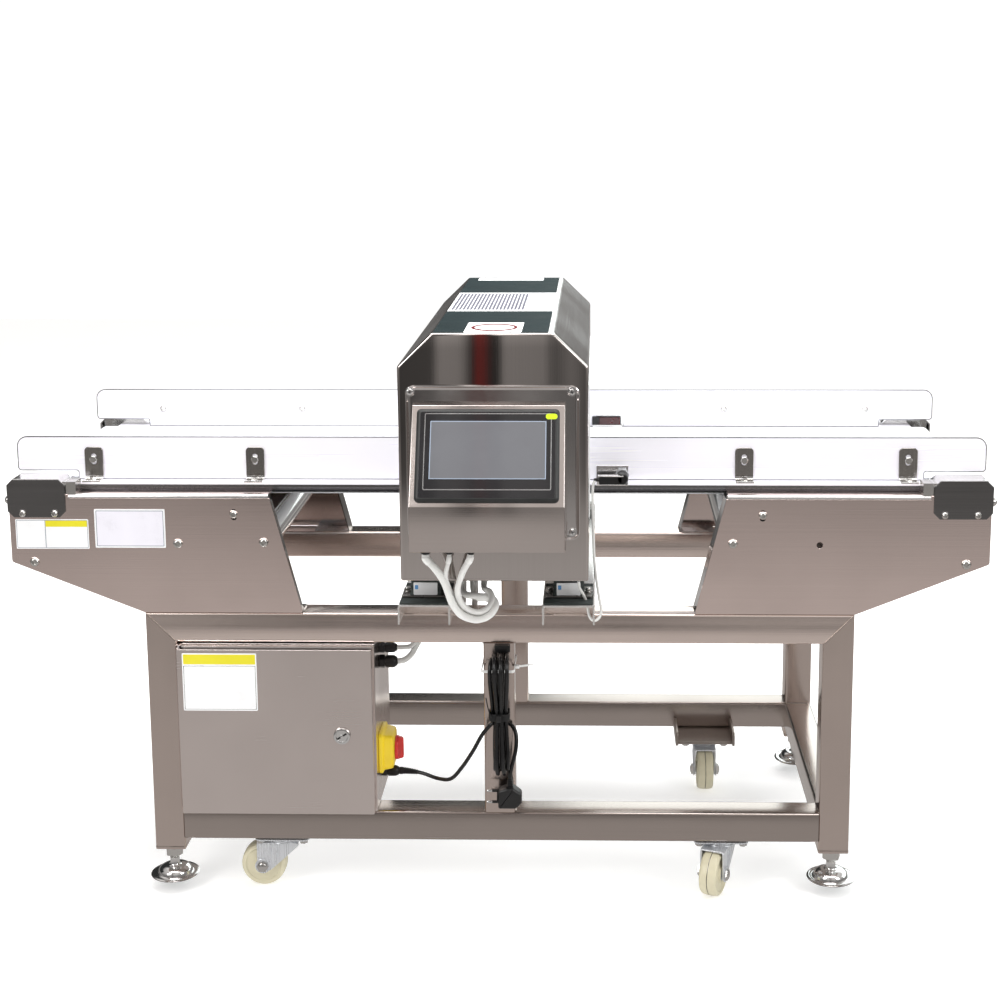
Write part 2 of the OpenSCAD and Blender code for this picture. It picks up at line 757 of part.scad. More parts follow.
module tunnel_liner() color("whitesmoke") difference() {
    union() {
        tunnel_block(head_half, liner_t);
        for (s = SIDES) bar(
            [s > 0 ? head_half : -head_half - liner_flange_t,
                tunnel_y0 - liner_flange, tunnel_z0 - liner_flange],
            [s > 0 ? head_half + liner_flange_t : -head_half,
                tunnel_y1 + liner_flange, tunnel_z1 + liner_flange]);
    }
    tunnel_block(head_half + liner_flange_t + overcut, 0);
}

module search_coil() color("darkgoldenrod") difference() {
    tunnel_block(coil_half, liner_t + coil_margin);
    tunnel_block(coil_half + overcut, liner_t);
}

// Operator panel

rim_corner = 12;
rim_z0 = 629;
rim_z1 = 872;
panel_x = -5;
panel_z0 = 635;
panel_lip_z = 705;
panel_slope_z = 844;
panel_slope_d = 77;
panel_top_z = 846;
panel_sheet = 2;
rim_y = head_y0 - rim_t;
RIM_SCREWS = [[-127.5, 861], [122, 861], [122, 640], [-127.5, 640]];
m5 = 5;

slope_len = norm([panel_slope_d, panel_slope_z - panel_lip_z]);
slope_tilt = atan2(panel_slope_d, panel_slope_z - panel_lip_z);

// Local frame on the sloping face: x along the belt, z up the slope, -y outwards
module on_slope() translate([panel_x, panel_y0, panel_lip_z]) rotate([-slope_tilt, 0, 0]) children();

module panel_side(in) polygon([
    [rim_y, panel_z0 + in], [panel_y0 + in, panel_z0 + in], [panel_y0 + in, panel_lip_z],
    [panel_y0 + panel_slope_d + in / 2, panel_slope_z - in], [rim_y, panel_top_z - in]
]);

display_in = 5;
display_body_d = 22;
display_z = slope_len / 2;
bezel_t = 6;

// The bezel's lower edge is the object's foremost point
foremost_y = panel_y0 + (display_z - display_h / 2) * sin(slope_tilt) - bezel_t * cos(slope_tilt);
row_y = -(foremost_y + head_y1) / 2;

module display_cut(gap, y0, y1) on_slope() bar(
    [-display_w / 2 + display_in - gap, y0, display_z - display_h / 2 + display_in - gap],
    [display_w / 2 - display_in + gap, y1, display_z + display_h / 2 - display_in + gap]);

module panel_housing() color("gainsboro") difference() {
    union() {
        along_x(panel_x - panel_w / 2, panel_x + panel_w / 2) panel_side(0);
        along_y(rim_y, head_y0) round_rect([-rim_w / 2, rim_z0], [rim_w / 2, rim_z1], rim_corner);
    }
    along_x(panel_x - panel_w / 2 + panel_sheet, panel_x + panel_w / 2 - panel_sheet)
        panel_side(panel_sheet);
    display_cut(fit_gap, -display_in, display_in);
    for (p = RIM_SCREWS) rod_y(p.x, rim_y - overcut, head_y0 + overcut, p.y, m5 / 2 + run_gap);
}

glass_w = 168;
glass_h = 96;
glass_up = 6;
glass_t = 2;

module display_bezel() color("black") difference() {
    union() {
        on_slope() bar([-display_w / 2, -bezel_t, display_z - display_h / 2],
            [display_w / 2, 0, display_z + display_h / 2]);
        display_cut(0, 0, display_body_d);
    }
    on_slope() bar([-glass_w / 2, -bezel_t - overcut, display_z + glass_up - glass_h / 2],
        [glass_w / 2, -bezel_t + glass_t, display_z + glass_up + glass_h / 2]);
}

module display_glass() color("gray") on_slope()
    bar([-glass_w / 2, -bezel_t, display_z + glass_up - glass_h / 2],
        [glass_w / 2, -bezel_t + glass_t, display_z + glass_up + glass_h / 2]);

// Supports of the head

channel_x = 114;
channel_w = 83;
channel_t = 3;
channel_over = 59;
pad_strip_w = 78;
pad_strip_t = 3;
isolator_y = -3;
isolator_w = 50;
isolator_base_t = 4;
isolator_bolt_x = 31.5;
base_l = 76;
base_w = 56;
channel_h = 32;
channel_top = frame_top + channel_h;

module support_channels() color("silver") for (x = SIDES) translate([x * channel_x, 0, 0]) difference() {
    bar([-channel_w / 2, -channel_over, frame_top], [channel_w / 2, frame_w + channel_over, channel_top]);
    bar([-channel_w / 2 + channel_t, -channel_over - overcut, frame_top - overcut],
        [channel_w / 2 - channel_t, frame_w + channel_over + overcut, channel_top - channel_t]);
    for (y = [isolator_y, frame_w - isolator_y], s = SIDES) rod_z(s * isolator_bolt_x, y,
        channel_top - channel_t - overcut, channel_top + overcut, m8 / 2 + run_gap);
    cable_hole();
}

// Hole that lets the sensor's cable up to the head
module cable_hole() rod_z(cable_hole_x - channel_x, cable_hole_y, channel_top - channel_t - overcut,
    channel_top + pad_strip_t + overcut, cable_hole_r);
cable_hole_x = 130;
cable_hole_y = -45;
cable_hole_r = 4;

module isolators() color("darkslategray") for (x = SIDES) translate([x * channel_x, 0, 0]) difference() {
    union() {
        bar([-pad_strip_w / 2, channel_t - channel_over, channel_top],
            [pad_strip_w / 2, frame_w + channel_over - channel_t, channel_top + pad_strip_t]);
        for (y = [isolator_y, frame_w - isolator_y]) {
            bar([-base_l / 2, y - base_w / 2, channel_top],
                [base_l / 2, y + base_w / 2, channel_top + pad_strip_t + isolator_base_t]);
            bar([-isolator_w / 2, y - isolator_w / 2, channel_top],
                [isolator_w / 2, y + isolator_w / 2, head_bottom]);
        }
    }
    for (y = [isolator_y, frame_w - isolator_y], s = SIDES) rod_z(s * isolator_bolt_x, y,
        channel_top - overcut, channel_top + pad_strip_t + isolator_base_t + overcut, m8 / 2 + run_gap);
    cable_hole();
}

// Control cabinet under the left half, with its door, lock and isolator switch

cabinet_gap = 2;
door_gap = 1;
door_top_gap = 5;
hinge_in = 3.5;
hinge_out = 4;
hinge_pin_r = 2;
hinge_block = 9;
hinge_block_h = 20;
catch_w = 20;
cabinet_top = frame_top - tube - cabinet_gap;
door_z0 = low_rail_top + sheet + run_gap * 10;
door_z1 = cabinet_top - door_top_gap;
hinge_x = hinge_in - cabinet_left;
hinge_y = -door_gap - hinge_out;
lock_x = -cabinet_right - 53;
lock_z = 280;
lock_r = 14;
lock_shank_r = 9;
lock_out = 5;
cam_l = 45;
cam_w = 12;
cam_t = 2;

module cabinet() color("gainsboro") {
    difference() {
        bar([-cabinet_left, 0, low_rail_top], [-cabinet_right, cabinet_depth, cabinet_top]);
        bar([sheet - cabinet_left, sheet, low_rail_top + sheet],
            [-cabinet_right - sheet, cabinet_depth - sheet, cabinet_top - sheet]);
        bar([sheet - cabinet_left, -overcut, low_rail_top + sheet],
            [-cabinet_right - catch_w, cabinet_depth - sheet, cabinet_top - sheet]);
    }
    for (low = [low_rail_top, cabinet_top - sheet]) bar([-cabinet_left, hinge_y - hinge_out, low],
        [hinge_block - cabinet_left, 0, low + sheet]);
    rod_z(hinge_x, hinge_y, low_rail_top, door_z0 + hinge_block_h / 2, hinge_pin_r);
    rod_z(hinge_x, hinge_y, door_z1 - hinge_block_h / 2, cabinet_top, hinge_pin_r);
}

module cabinet_door() color("gainsboro") difference() {
    union() {
        difference() {
            bar([-cabinet_left, -door_t, door_z0], [-cabinet_right, -door_gap, door_z1]);
            bar([sheet - cabinet_left, sheet - door_t, door_z0 + sheet],
                [-cabinet_right - sheet, 0, door_z1 - sheet]);
        }
        for (low = [door_z0, door_z1 - hinge_block_h]) bar([-cabinet_left, hinge_y - hinge_out, low],
            [hinge_block - cabinet_left, -door_gap, low + hinge_block_h]);
    }
    rod_z(hinge_x, hinge_y, low_rail_top, cabinet_top, hinge_pin_r + run_gap);
    rod_y(lock_x, -door_t - overcut, 0, lock_z, lock_shank_r + run_gap);
}

// Quarter-turn lock; its cam hangs down while unlatched
module door_lock() color("black") {
    rod_y(lock_x, -door_t - lock_out, -door_t, lock_z, lock_r);
    rod_y(lock_x, -door_t, sheet + 2 * cam_t, lock_z, lock_shank_r);
    bar([lock_x - cam_w / 2, sheet + cam_t, lock_z - cam_l], [lock_x + cam_w / 2, sheet + 2 * cam_t, lock_z]);
}

switch_y = 60;
switch_z = 230;
switch_w = 68;
switch_t = 24;
skirt_t = 4;
skirt_in = 6;
knob_r = 21;
knob_t = 6;
grip_w = 11;
grip_t = 8;
spindle_r = 5;
switch_face = switch_t - cabinet_right;

module switch_base() color("gold") difference() {
    union() {
        bar([-cabinet_right, switch_y - switch_w / 2, switch_z - switch_w / 2],
            [skirt_t - cabinet_right, switch_y + switch_w / 2, switch_z + switch_w / 2]);
        bar([-cabinet_right, switch_y - switch_w / 2 + skirt_in, switch_z - switch_w / 2 + skirt_in],
            [switch_face, switch_y + switch_w / 2 - skirt_in, switch_z + switch_w / 2 - skirt_in]);
    }
    rod_x(skirt_t - cabinet_right, switch_face + overcut, switch_y, switch_z, spindle_r + run_gap);
}

module switch_knob() color("red") {
    rod_x(skirt_t - cabinet_right, switch_face + run_gap, switch_y, switch_z, spindle_r);
    rod_x(switch_face + run_gap, switch_face + knob_t, switch_y, switch_z, knob_r);
    bar([switch_face + knob_t, switch_y - grip_w / 2, switch_z - knob_r],
        [switch_face + knob_t + grip_t, switch_y + grip_w / 2, switch_z + knob_r]);
}

// Cable glands: body, neck and domed nut, as shares of radius and length
GLAND_SHARES = [
    [0, 0], [1, 0], [1, 0.3], [0.8, 0.34], [0.8, 0.42], [0.95, 0.46], [0.95, 0.8], [0.65, 1], [0, 1]
];
gland_l = 30;
short_gland_l = 12;
gland_y = 64;
mains_gland_z = 187;

// Side glands as [height, radius]
SIDE_GLANDS = [[403, 8.5], [379, 10.5], [mains_gland_z, 9]];

module gland(r, l) rotate_extrude() polygon([for (p = GLAND_SHARES) [p.x * r, p.y * l]]);

module cable_glands() color("black") {
    for (g = SIDE_GLANDS) translate([-cabinet_right, gland_y, g[0]]) rotate([0, 90, 0]) gland(g[1], gland_l);
    for (c = PANEL_CABLES) translate([c[0][0].x, c[0][0].y, panel_z0]) mirror([0, 0, 1])
        gland(c[1] / 2 + gland_wall, short_gland_l);
    for (c = concat(PANEL_CABLES, CONTROL_CABLES, [SENSOR_CABLE]))
        translate([last(c[0]).x, last(c[0]).y, head_bottom]) mirror([0, 0, 1])
            gland(c[1] / 2 + gland_wall, short_gland_l);
}
gland_wall = 2.5;

// Electric units: drive controller, supply and breakers in the cabinet, signal board in the head

unit_plate_t = 3;
unit_in = 25;
UNIT_BOXES = [
    [[-480, 70, 205], [-400, 175.5, 385]],
    [[-385, 95, 240], [-320, 175.5, 370]],
    [[-305, 110, 300], [-235, 175.5, 385]]
];
board_w = 200;
board_z0 = 650;
board_z1 = 850;
board_t = 1.6;
board_y = -60;
standoff_r = 4;

module circuit_units() color("seagreen") {
    bar([unit_in - cabinet_left, cabinet_depth - sheet - unit_plate_t, low_rail_top + unit_in],
        [-cabinet_right - unit_in, cabinet_depth - sheet, cabinet_top - unit_in]);
    for (b = UNIT_BOXES) bar([b[0].x, b[0].y, b[0].z],
        [b[1].x, cabinet_depth - sheet - unit_plate_t, b[1].z]);
    bar([-board_w / 2, board_y, board_z0], [board_w / 2, board_y + board_t, board_z1]);
    for (x = SIDES, z = [board_z0 + unit_in, board_z1 - unit_in])
        rod_y(x * (board_w / 2 - unit_in), head_y0 + cover_t, board_y, z, standoff_r);
}

// Light barrier across the belt: sensor on the front guard, reflector on the back one

sensor_x = 200;
sensor_z = deck_top + 11;
sensor_r = 9;
sensor_l = 38;
sensor_body = 13;
sensor_y = 22;
holder_t = 2;
holder_x0 = 158;
holder_x1 = 210;
holder_h = 24;
reflector_w = 52;
reflector_h = 17;
reflector_t = 6;
reflector_z = deck_top + 4;
far_guard_y = frame_w - guard_y - guard_t;

module photo_sensor() color("black") {
    bar([sensor_x - sensor_l, sensor_y - sensor_body / 2, deck_top + holder_t],
        [sensor_x, sensor_y + sensor_body / 2, deck_top + holder_t + sensor_body]);
    rod_y(sensor_x, sensor_y - sensor_body / 2, guard_y - 2 * holder_t, sensor_z, sensor_r);
    bar([holder_x0, sensor_y - sensor_body / 2, deck_top], [holder_x1, guard_y, deck_top + holder_t]);
    difference() {
        bar([holder_x0, guard_y - holder_t, deck_top], [holder_x1, guard_y, deck_top + holder_h]);
        rod_y(sensor_x, guard_y - holder_t - overcut, guard_y + overcut, sensor_z, beam_hole_d / 2);
    }
}

module reflector() color("darkred") {
    bar([sensor_x - reflector_w + holder_t, far_guard_y - holder_t - reflector_t, reflector_z],
        [sensor_x + holder_t * 2, far_guard_y - holder_t, reflector_z + reflector_h]);
    bar([holder_x0, far_guard_y - holder_t, deck_top],
        [holder_x1, far_guard_y, deck_top + holder_h]);
}

// Cords and cables are tubes swept along routes

function last(v) = v[len(v) - 1];
function tangent(p, i) = unit(p[min(i + 1, len(p) - 1)] - p[max(i - 1, 0)]);
function carry(n, t) = unit(n - (n * t) * t);
function carried(p, n, i = 0) = i == len(p) ? [] :
    let(m = carry(n, tangent(p, i))) concat([m], carried(p, m, i + 1));

module tube_along(p, r, sides, start) {
    normals = carried(p, start);
    count = len(p);
    polyhedron(
        points = [for (i = [0:count - 1], k = [0:sides - 1]) p[i]
            + r * cos(360 * k / sides) * normals[i]
            + r * sin(360 * k / sides) * cross(tangent(p, i), normals[i])],
        faces = concat(
            [[for (k = [0:sides - 1]) k], [for (k = [sides - 1:-1:0]) (count - 1) * sides + k]],
            [for (i = [0:count - 2], k = [0:sides - 1]) let(m = (k + 1) % sides)
                [i * sides + k, (i + 1) * sides + k, (i + 1) * sides + m, i * sides + m]]),
        convexity = 8);
}

// Smooth curve through the points, straight along its first and last stretch
function curve_point(a, b, c, d, t) = (2 * b + t * (c - a) + t * t * (2 * a - 5 * b + 4 * c - d)
    + t * t * t * (3 * b - a - 3 * c + d)) / 2;
function curve(p, steps) = concat([p[0]],
    [for (i = [1:len(p) - 3], j = [0:steps - 1]) curve_point(p[i - 1], p[i], p[i + 1], p[i + 2], j / steps)],
    [p[len(p) - 2], last(p)]);

// Moves a route's ends onto two given points and lets the points between follow
function follow_share(i, n) = max(0, min(1, (i - 1) / (n - 3)));
function anchored(p, from, to) = [for (i = [0:len(p) - 1]) p[i]
    + (from - p[0]) * (1 - follow_share(i, len(p))) + (to - last(p)) * follow_share(i, len(p))];

cable_sides = 8;

// Fixed cables as [route, diameter]. Sleeved ones run from the panel to the head
PANEL_CABLES = [
    [[[-100, -150, 623], [-100, -150, 611], [-92, -146, 585], [-66, -128, 545], [-36, -112, 512],
        [-8, -100, 500], [8, -88, 520], [-12, -66, 536], [-42, -44, 528], [-58, -22, 520],
        [-62, 0, 524], [-62, 8, 538], [-62, 8, 550]], 12],
    [[[-64, -150, 623], [-64, -150, 611], [-60, -146, 585], [-46, -126, 556], [-26, -104, 532],
        [-14, -88, 532], [-26, -66, 552], [-40, -44, 548], [-42, -20, 538], [-42, 0, 532],
        [-42, 8, 541], [-42, 8, 550]], 9],
    [[[-32, -150, 623], [-32, -150, 611], [-30, -146, 590], [-24, -124, 572], [-8, -96, 556],
        [8, -66, 546], [2, -40, 540], [-14, -18, 532], [-22, 0, 530], [-22, 8, 540],
        [-22, 8, 550]], 9]
];
CONTROL_CABLES = [
    [[[-172, 64, 403], [-160, 64, 403], [-128, 64, 404], [-90, 66, 418], [-66, 68, 450], [-60, 68, 490],
        [-60, 68, 525], [-60, 68, 542], [-60, 68, 550]], 8],
    [[[-172, 64, 379], [-160, 64, 379], [-122, 64, 380], [-76, 66, 394], [-48, 68, 440], [-42, 68, 490],
        [-42, 68, 525], [-42, 68, 540], [-42, 68, 550]], 10]
];
SENSOR_CABLE = [[[162, 22, 698.5], [158, 22, 698.5], [153, 21, 691], [152, 18, 668], [155, 12, 630],
    [164, 4, 566], [166, 0, 522], [162, -10, 484], [150, -24, 466], [136, -38, 474], [130, -45, 495],
    [130, -45, 520],
    [130, -45, 545], [130, -45, 550]], 4.5];

function panel_ends(c) = [[c[0][0].x, c[0][0].y, panel_z0 - short_gland_l],
    [last(c[0]).x, last(c[0]).y, head_bottom - short_gland_l]];
function gland_ends(i) = [[gland_l - cabinet_right, gland_y, SIDE_GLANDS[i][0]],
    [last(CONTROL_CABLES[i][0]).x, last(CONTROL_CABLES[i][0]).y, head_bottom - short_gland_l]];

module fixed_cables() color("white") {
    for (c = PANEL_CABLES)
        tube_along(curve(anchored(c[0], panel_ends(c)[0], panel_ends(c)[1]), 3), c[1] / 2, cable_sides, [1, 0, 0]);
    for (i = [0, 1]) tube_along(
        curve(anchored(CONTROL_CABLES[i][0], gland_ends(i)[0], gland_ends(i)[1]), 2),
        CONTROL_CABLES[i][1] / 2, cable_sides, [0, 0, 1]);
    tube_along(curve(anchored(SENSOR_CABLE[0],
        [sensor_x - sensor_l, sensor_y, deck_top + holder_t + sensor_body / 2],
        [last(SENSOR_CABLE[0]).x, last(SENSOR_CABLE[0]).y, head_bottom - short_gland_l]), 2),
        SENSOR_CABLE[1] / 2, cable_sides, [0, 1, 0]);
}

// Hank of the mains lead: three columns of loops in two layers, drawn in at the waist.
// s counts loops from the waist of the front run, upwards first

hank_x = 2;
hank_y = -27.5;
hank_z = 321.5;
hank_loops = 5.5;
hank_columns = 3;
loop_rings = 24;
layer_pitch = lead_d + 0.125 * lead_d;
column_pitch = lead_d + 0.14 * lead_d;
lobe_pitch = lead_d + 0.6 * lead_d;
waist_r = 3.6;
lobe_r = 16.8;
run_half = 75;

// Shares of a loop: the front run, the top bend, the back run and the bottom bend
function loop_part(s) = floor((s + 0.125) * 4 % 4);
function part_share(s) = (s + 0.125) * 4 % 1;
function eased(v) = (1 - cos(180 * v)) / 2;
function hank_layer(s) = eased(max(0, min(1, (s - hank_columns + 0.125) * 4)));
function hank_column(s) = s < hank_columns ? s - hank_columns / 2 : 1.5 * hank_columns - s;
function run_depth(z, layer) = waist_r + layer * layer_pitch
    + (lobe_r - waist_r) * (1 - cos(180 * z / run_half)) / 2;
function pitch_at(z) = column_pitch
    + (lobe_pitch - column_pitch) * (1 - cos(180 * min(1, abs(z) / run_half))) / 2;
function hank_point(s) = let(
        part = loop_part(s),
        v = part_share(s),
        layer = hank_layer(s),
        r = lobe_r + layer * layer_pitch,
        z = part == 0 ? run_half * (2 * v - 1) : part == 2 ? run_half * (1 - 2 * v)
            : part == 1 ? run_half + r * sin(180 * v) : -run_half - r * sin(180 * v),
        y = part == 0 ? -run_depth(z, layer) : part == 2 ? run_depth(z, layer)
            : part == 1 ? -r * cos(180 * v) : r * cos(180 * v)
    ) [hank_x + hank_column(s) * pitch_at(z), hank_y + y, hank_z + z];
hank_points = [for (i = [0:hank_loops * loop_rings]) hank_point(i / loop_rings)];
hank_exit_share = [0, 0.3, -1];
hank_in = [hank_points[0] - [0, 0, lead_d], hank_points[0]];
hank_out = [last(hank_points), last(hank_points) + lead_d * unit(hank_exit_share)];
hank_route = concat([hank_in[0]], hank_points, [hank_out[1]]);

// Least gap between two stretches of the hank, on pieces at least a third of a loop apart
function flat_gap(p, a, b) = let(
        u = p[a + 1] - p[a],
        w = p[a] - p[b],
        k = max(0, min(1, -(w * u) / (u * u)))
    ) norm(w + k * u);
hank_gap = min([for (a = [0:len(hank_route) - 2], b = [0:len(hank_route) - 1])
    if (abs(a - b) > loop_rings / 3) flat_gap(hank_route, a, b)]) - lead_d;
echo(hank_gap = hank_gap, hank_start = hank_route[0], hank_end = last(hank_route));
function route_length(p, i = 0) = i == len(p) - 1 ? 0 : norm(p[i + 1] - p[i]) + route_length(p, i + 1);
echo(hank_length = route_length(hank_route));

module cord_hank() color("black") tube_along(hank_route, lead_d / 2, 6, [1, 0, 0]);

// Free stretches of the mains lead: gland to hank, and hank to plug

lead_sides = 8;
plug_x = 18;
plug_y = -26;
plug_top = 211;
MAINS_ROUTE = [
    [-172, 64, 187], [-165, 64, 187], [-136, 60, 185], [-106, 44, 182], [-82, 20, 192], [-62, 0, 220],
    [-42, -18, 256], [-26, -28, 288], [-14, -31, 304], [-8.5, -31, 310], [-8.5, -31, 316]
];
PLUG_ROUTE = [
    [-5, -15, 315], [-5, -13, 309], [-2, -8, 303], [8, -5, 300], [20, -7, 296], [28, -16, 284],
    [28, -24, 262], [22, -26, 236], [18, -26, 217], [18, -26, 211]
];

module mains_lead() color("black") tube_along(curve(anchored(MAINS_ROUTE,
    [gland_l - cabinet_right, gland_y, mains_gland_z], hank_route[0]), 3), lead_d / 2, lead_sides, [0, 1, 0]);

module plug_lead() color("black") tube_along(curve(anchored(PLUG_ROUTE,
    last(hank_route), [plug_x, plug_y, plug_top]), 3), lead_d / 2, lead_sides, [1, 0, 0]);

// Moulded plug with two round pins, hanging with its pins to the left

plug_h = 47;
plug_w = 38;
plug_t = 24;
relief_r = 5.5;
relief_l = 12;
pin_r = 2.4;
pin_l = 19;
pin_gap = 19;

module mains_plug() color("black") {
    along_y(plug_y - plug_t / 2, plug_y + plug_t / 2) polygon([
        [plug_x - plug_w / 2, plug_top - plug_h], [plug_x + plug_w / 4, plug_top - plug_h],
        [plug_x + plug_w / 2, plug_top - plug_h + plug_w / 4],
        [plug_x + plug_w / 2, plug_top - relief_l - plug_w / 4],
        [plug_x + relief_r, plug_top - relief_l], [plug_x - relief_r, plug_top - relief_l],
        [plug_x - plug_w / 2, plug_top - relief_l - plug_w / 8]
    ]);
    rod_z(plug_x, plug_y, plug_top - relief_l, plug_top, relief_r);
    for (s = SIDES) rod_x(plug_x - plug_w / 2 - pin_l, plug_x - plug_w / 2,
        plug_y, plug_top - (plug_h + relief_l) / 2 + s * pin_gap / 2, pin_r);
}

// Ties: one round the hank's waist, one round the centre post that holds the hank

waist_tie_h = 12;
tie_t = 2;
tie_gap = 0.6;
post_tie_z = 392;
post_tie_h = 5;
tie_head = 8;
tie_tail = 34;
pad_block = [25, 6, 12];
waist_half_x = hank_columns / 2 * column_pitch + lead_d / 2 + tie_gap;
waist_half_y = waist_r + layer_pitch + lead_d / 2 + tie_gap;

module band(low, high, z0, z1) difference() {
    bar([low.x - tie_t, low.y - tie_t, z0], [high.x + tie_t, high.y + tie_t, z1]);
    bar([low.x, low.y, z0 - overcut], [high.x, high.y, z1 + overcut]);
}

module cord_ties() {
    color("black") {
        band([hank_x - waist_half_x, hank_y - waist_half_y], [hank_x + waist_half_x, hank_y + waist_half_y],
            hank_z - waist_tie_h / 2, hank_z + waist_tie_h / 2);
        bar([hank_x - tie_head / 2, hank_y - waist_half_y - tie_head, hank_z - waist_tie_h / 2],
            [hank_x + tie_head / 2, hank_y - waist_half_y - tie_t, hank_z + waist_tie_h / 2]);
        bar([-pad_block.x / 4, -pad_block.y, cabinet_top - pad_block.z],
            [pad_block.x * 3 / 4, 0, cabinet_top]);
    }
    color("white") {
        band([-tube / 2, hank_y], [tube / 2, tube], post_tie_z, post_tie_z + post_tie_h);
        bar([tube / 2 + tie_t, -tie_head, post_tie_z], [tube / 2 + tie_head, 0, post_tie_z + post_tie_h]);
        bar([tube / 2 + tie_head, -tie_t, post_tie_z + tie_t / 2],
            [tube / 2 + tie_tail, 0, post_tie_z + post_tie_h - tie_t / 2]);
    }
}

// Bolts, screws and nuts of the stand, each its own solid

dome_h = 5;
dome_r = 8;
acorn_r = 5.5;
acorn_h = 9;
hex_h = 5;
nut_r = 7.5;
m6_head_r = 5.5;
m6_head_h = 4;

module hex(h, r) cylinder(h = h, r = r, $fn = 6);

// Dome-head bolt along +Y whose head stands in front of y = 0
module dome_bolt(grip, r) {
    rotate([90, 0, 0]) rotate_extrude() polygon([[0, 0], [dome_r, 0], [7 / 8 * dome_r, dome_h / 2],
        [dome_r / 2, dome_h], [0, dome_h]]);
    rod_y(0, 0, grip, 0, r);
}

module nut_along_y(y, r, hole) translate([0, y, 0]) difference() {
    rotate([-90, 0, 0]) hex(hex_h, r);
    rod_y(0, -overcut, hex_h + overcut, 0, hole);
}

module guard_bolts() for (x = GUARD_BOLTS) {
    translate([x, guard_y + guard_t, deck_top + bracket_bolt_z]) mirror([0, 1, 0])
        dome_bolt(guard_t + bracket_plate_t + hex_h, m8 / 2);
    translate([x, guard_y - bracket_plate_t - hex_h, deck_top + bracket_bolt_z])
        nut_along_y(0, nut_r, m8 / 2);
    translate([x, bed_edge + bracket_foot / 2, deck_top + bracket_plate_t]) {
        cylinder(h = m6_head_h, r = m6_head_r);
        rod_z(0, 0, -bracket_plate_t - deck_t, 0, m6 / 2);
        translate([0, 0, -bracket_plate_t - deck_t - m6_head_h]) hex(m6_head_h, m6_head_r);
    }
}

module wing_bolts() {
    translate([return_x, 0, return_roller_z]) dome_bolt(wing_t, m8 / 2);
    translate([tie_x, 0, tie_z]) dome_bolt(wing_t + tube_plug_t, m8 / 2);
    translate([wing_bolt_x, 0, wing_bolt_z]) {
        dome_bolt(wing_t + hex_h, m8 / 2);
        nut_along_y(wing_t, nut_r, m8 / 2);
    }
    for (x = CAP_BOLTS) translate([x, -cap_t, cap_bolt_z]) {
        dome_bolt(cap_t + wing_t + hex_h, m8 / 2);
        nut_along_y(cap_t + wing_t, nut_r, m8 / 2);
    }
    translate([cap_x1, screw_y, screw_z]) rotate([0, 90, 0]) {
        rotate_extrude() polygon([[0, 0], [acorn_r, 0], [acorn_r, dome_h], [acorn_r / 2, acorn_h], [0, acorn_h]]);
        rod_z(0, 0, block_x1 - cap_x1, 0, m8 / 2);
    }
}

module isolator_bolts() for (y = [isolator_y, frame_w - isolator_y]) {
    for (s = SIDES) translate([s * isolator_bolt_x, y, 0]) {
        translate([0, 0, channel_top + pad_strip_t + isolator_base_t]) hex(hex_h, m6_head_r);
        rod_z(0, 0, channel_top - channel_t, channel_top + pad_strip_t + isolator_base_t, m8 / 2);
        translate([0, 0, channel_top - channel_t - hex_h]) rotate([0, 0, 30]) hex(hex_h, nut_r);
    }
    translate([0, y, 0]) {
        rod_z(0, 0, head_bottom, head_bottom + head_wall, m8 / 2);
        translate([0, 0, head_bottom + head_wall]) hex(hex_h, nut_r);
    }
}

module caster_bolts() for (side = SIDES, x = SIDES, y = SIDES)
    translate([x * plate_bolt_l / 2, caster_y(side) + y * plate_bolt_w / 2, 0]) {
        translate([0, 0, caster_top - m6_head_h]) hex(m6_head_h, nut_r);
        rod_z(0, 0, caster_top, rail_low_z, m8 / 2);
    }

module foot_nuts() both_faces() both_ends() translate([half_l - tube / 2, tube / 2, 0]) difference() {
    translate([0, 0, leg_bottom - stem_nut_t]) hex(stem_nut_t, stem_flat / 2 / cos(30));
    rod_z(0, 0, leg_bottom - stem_nut_t - overcut, leg_bottom + overcut, stem_d / 2 + run_gap);
}

module fasteners() color("silver") {
    both_faces() guard_bolts();
    both_faces() both_ends() wing_bolts();
    translate([-drum_x, 0, drum_z]) dome_bolt(wing_t, m8 / 2);
    for (x = SIDES) translate([x * channel_x, 0, 0]) isolator_bolts();
    for (x = SIDES) translate([x * caster_x, 0, 0]) caster_bolts();
    foot_nuts();
    for (p = RIM_SCREWS) translate([p.x, rim_y, p.y]) {
        rod_y(0, -m5 / 2, 0, 0, m5);
        rod_y(0, 0, rim_t, 0, m5 / 2);
    }
}

// Draws the chosen sub-part, or all of them
place() frame_legs();
place() frame_long_rails();
place() frame_end_rails();
place() frame_posts();
place() mounting_plates();
place() foot(CORNERS[0]);  // foot_front_left
place() foot(CORNERS[1]);  // foot_front_right
place() foot(CORNERS[2]);  // foot_back_left
place() foot(CORNERS[3]);  // foot_back_right
place() fork(0);  // fork_front_left
place() fork(1);  // fork_front_right
place() fork(2);  // fork_back_left
place() fork(3);  // fork_back_right
place() wheel(0);  // wheel_front_left
place() wheel(1);  // wheel_front_right
place() wheel(2);  // wheel_back_left
place() wheel(3);  // wheel_back_right
place() slider_bed();
place() conveyor_belt();
place() side_guards();
place() guard_brackets();
place() end_roller(-1);  // end_roller_left
place() end_roller(1);  // end_roller_right
place() drive_drum();
place() return_roller(-1);  // return_roller_left
place() return_roller(1);  // return_roller_right
place() wing_plates();
place() wing_pans();
place() tie_tubes();
place() end_caps();
place() bearing_blocks();
place() shaft_bearings();
place() gearmotor();
place() motor_pulley();
place() timing_belt();
place() head_shell();
place() head_end_covers();
place() tunnel_liner();
place() search_coil();
place() panel_housing();
place() display_bezel();
place() display_glass();
place() support_channels();
place() isolators();
place() cabinet();
place() cabinet_door();
place() door_lock();
place() switch_base();
place() switch_knob();
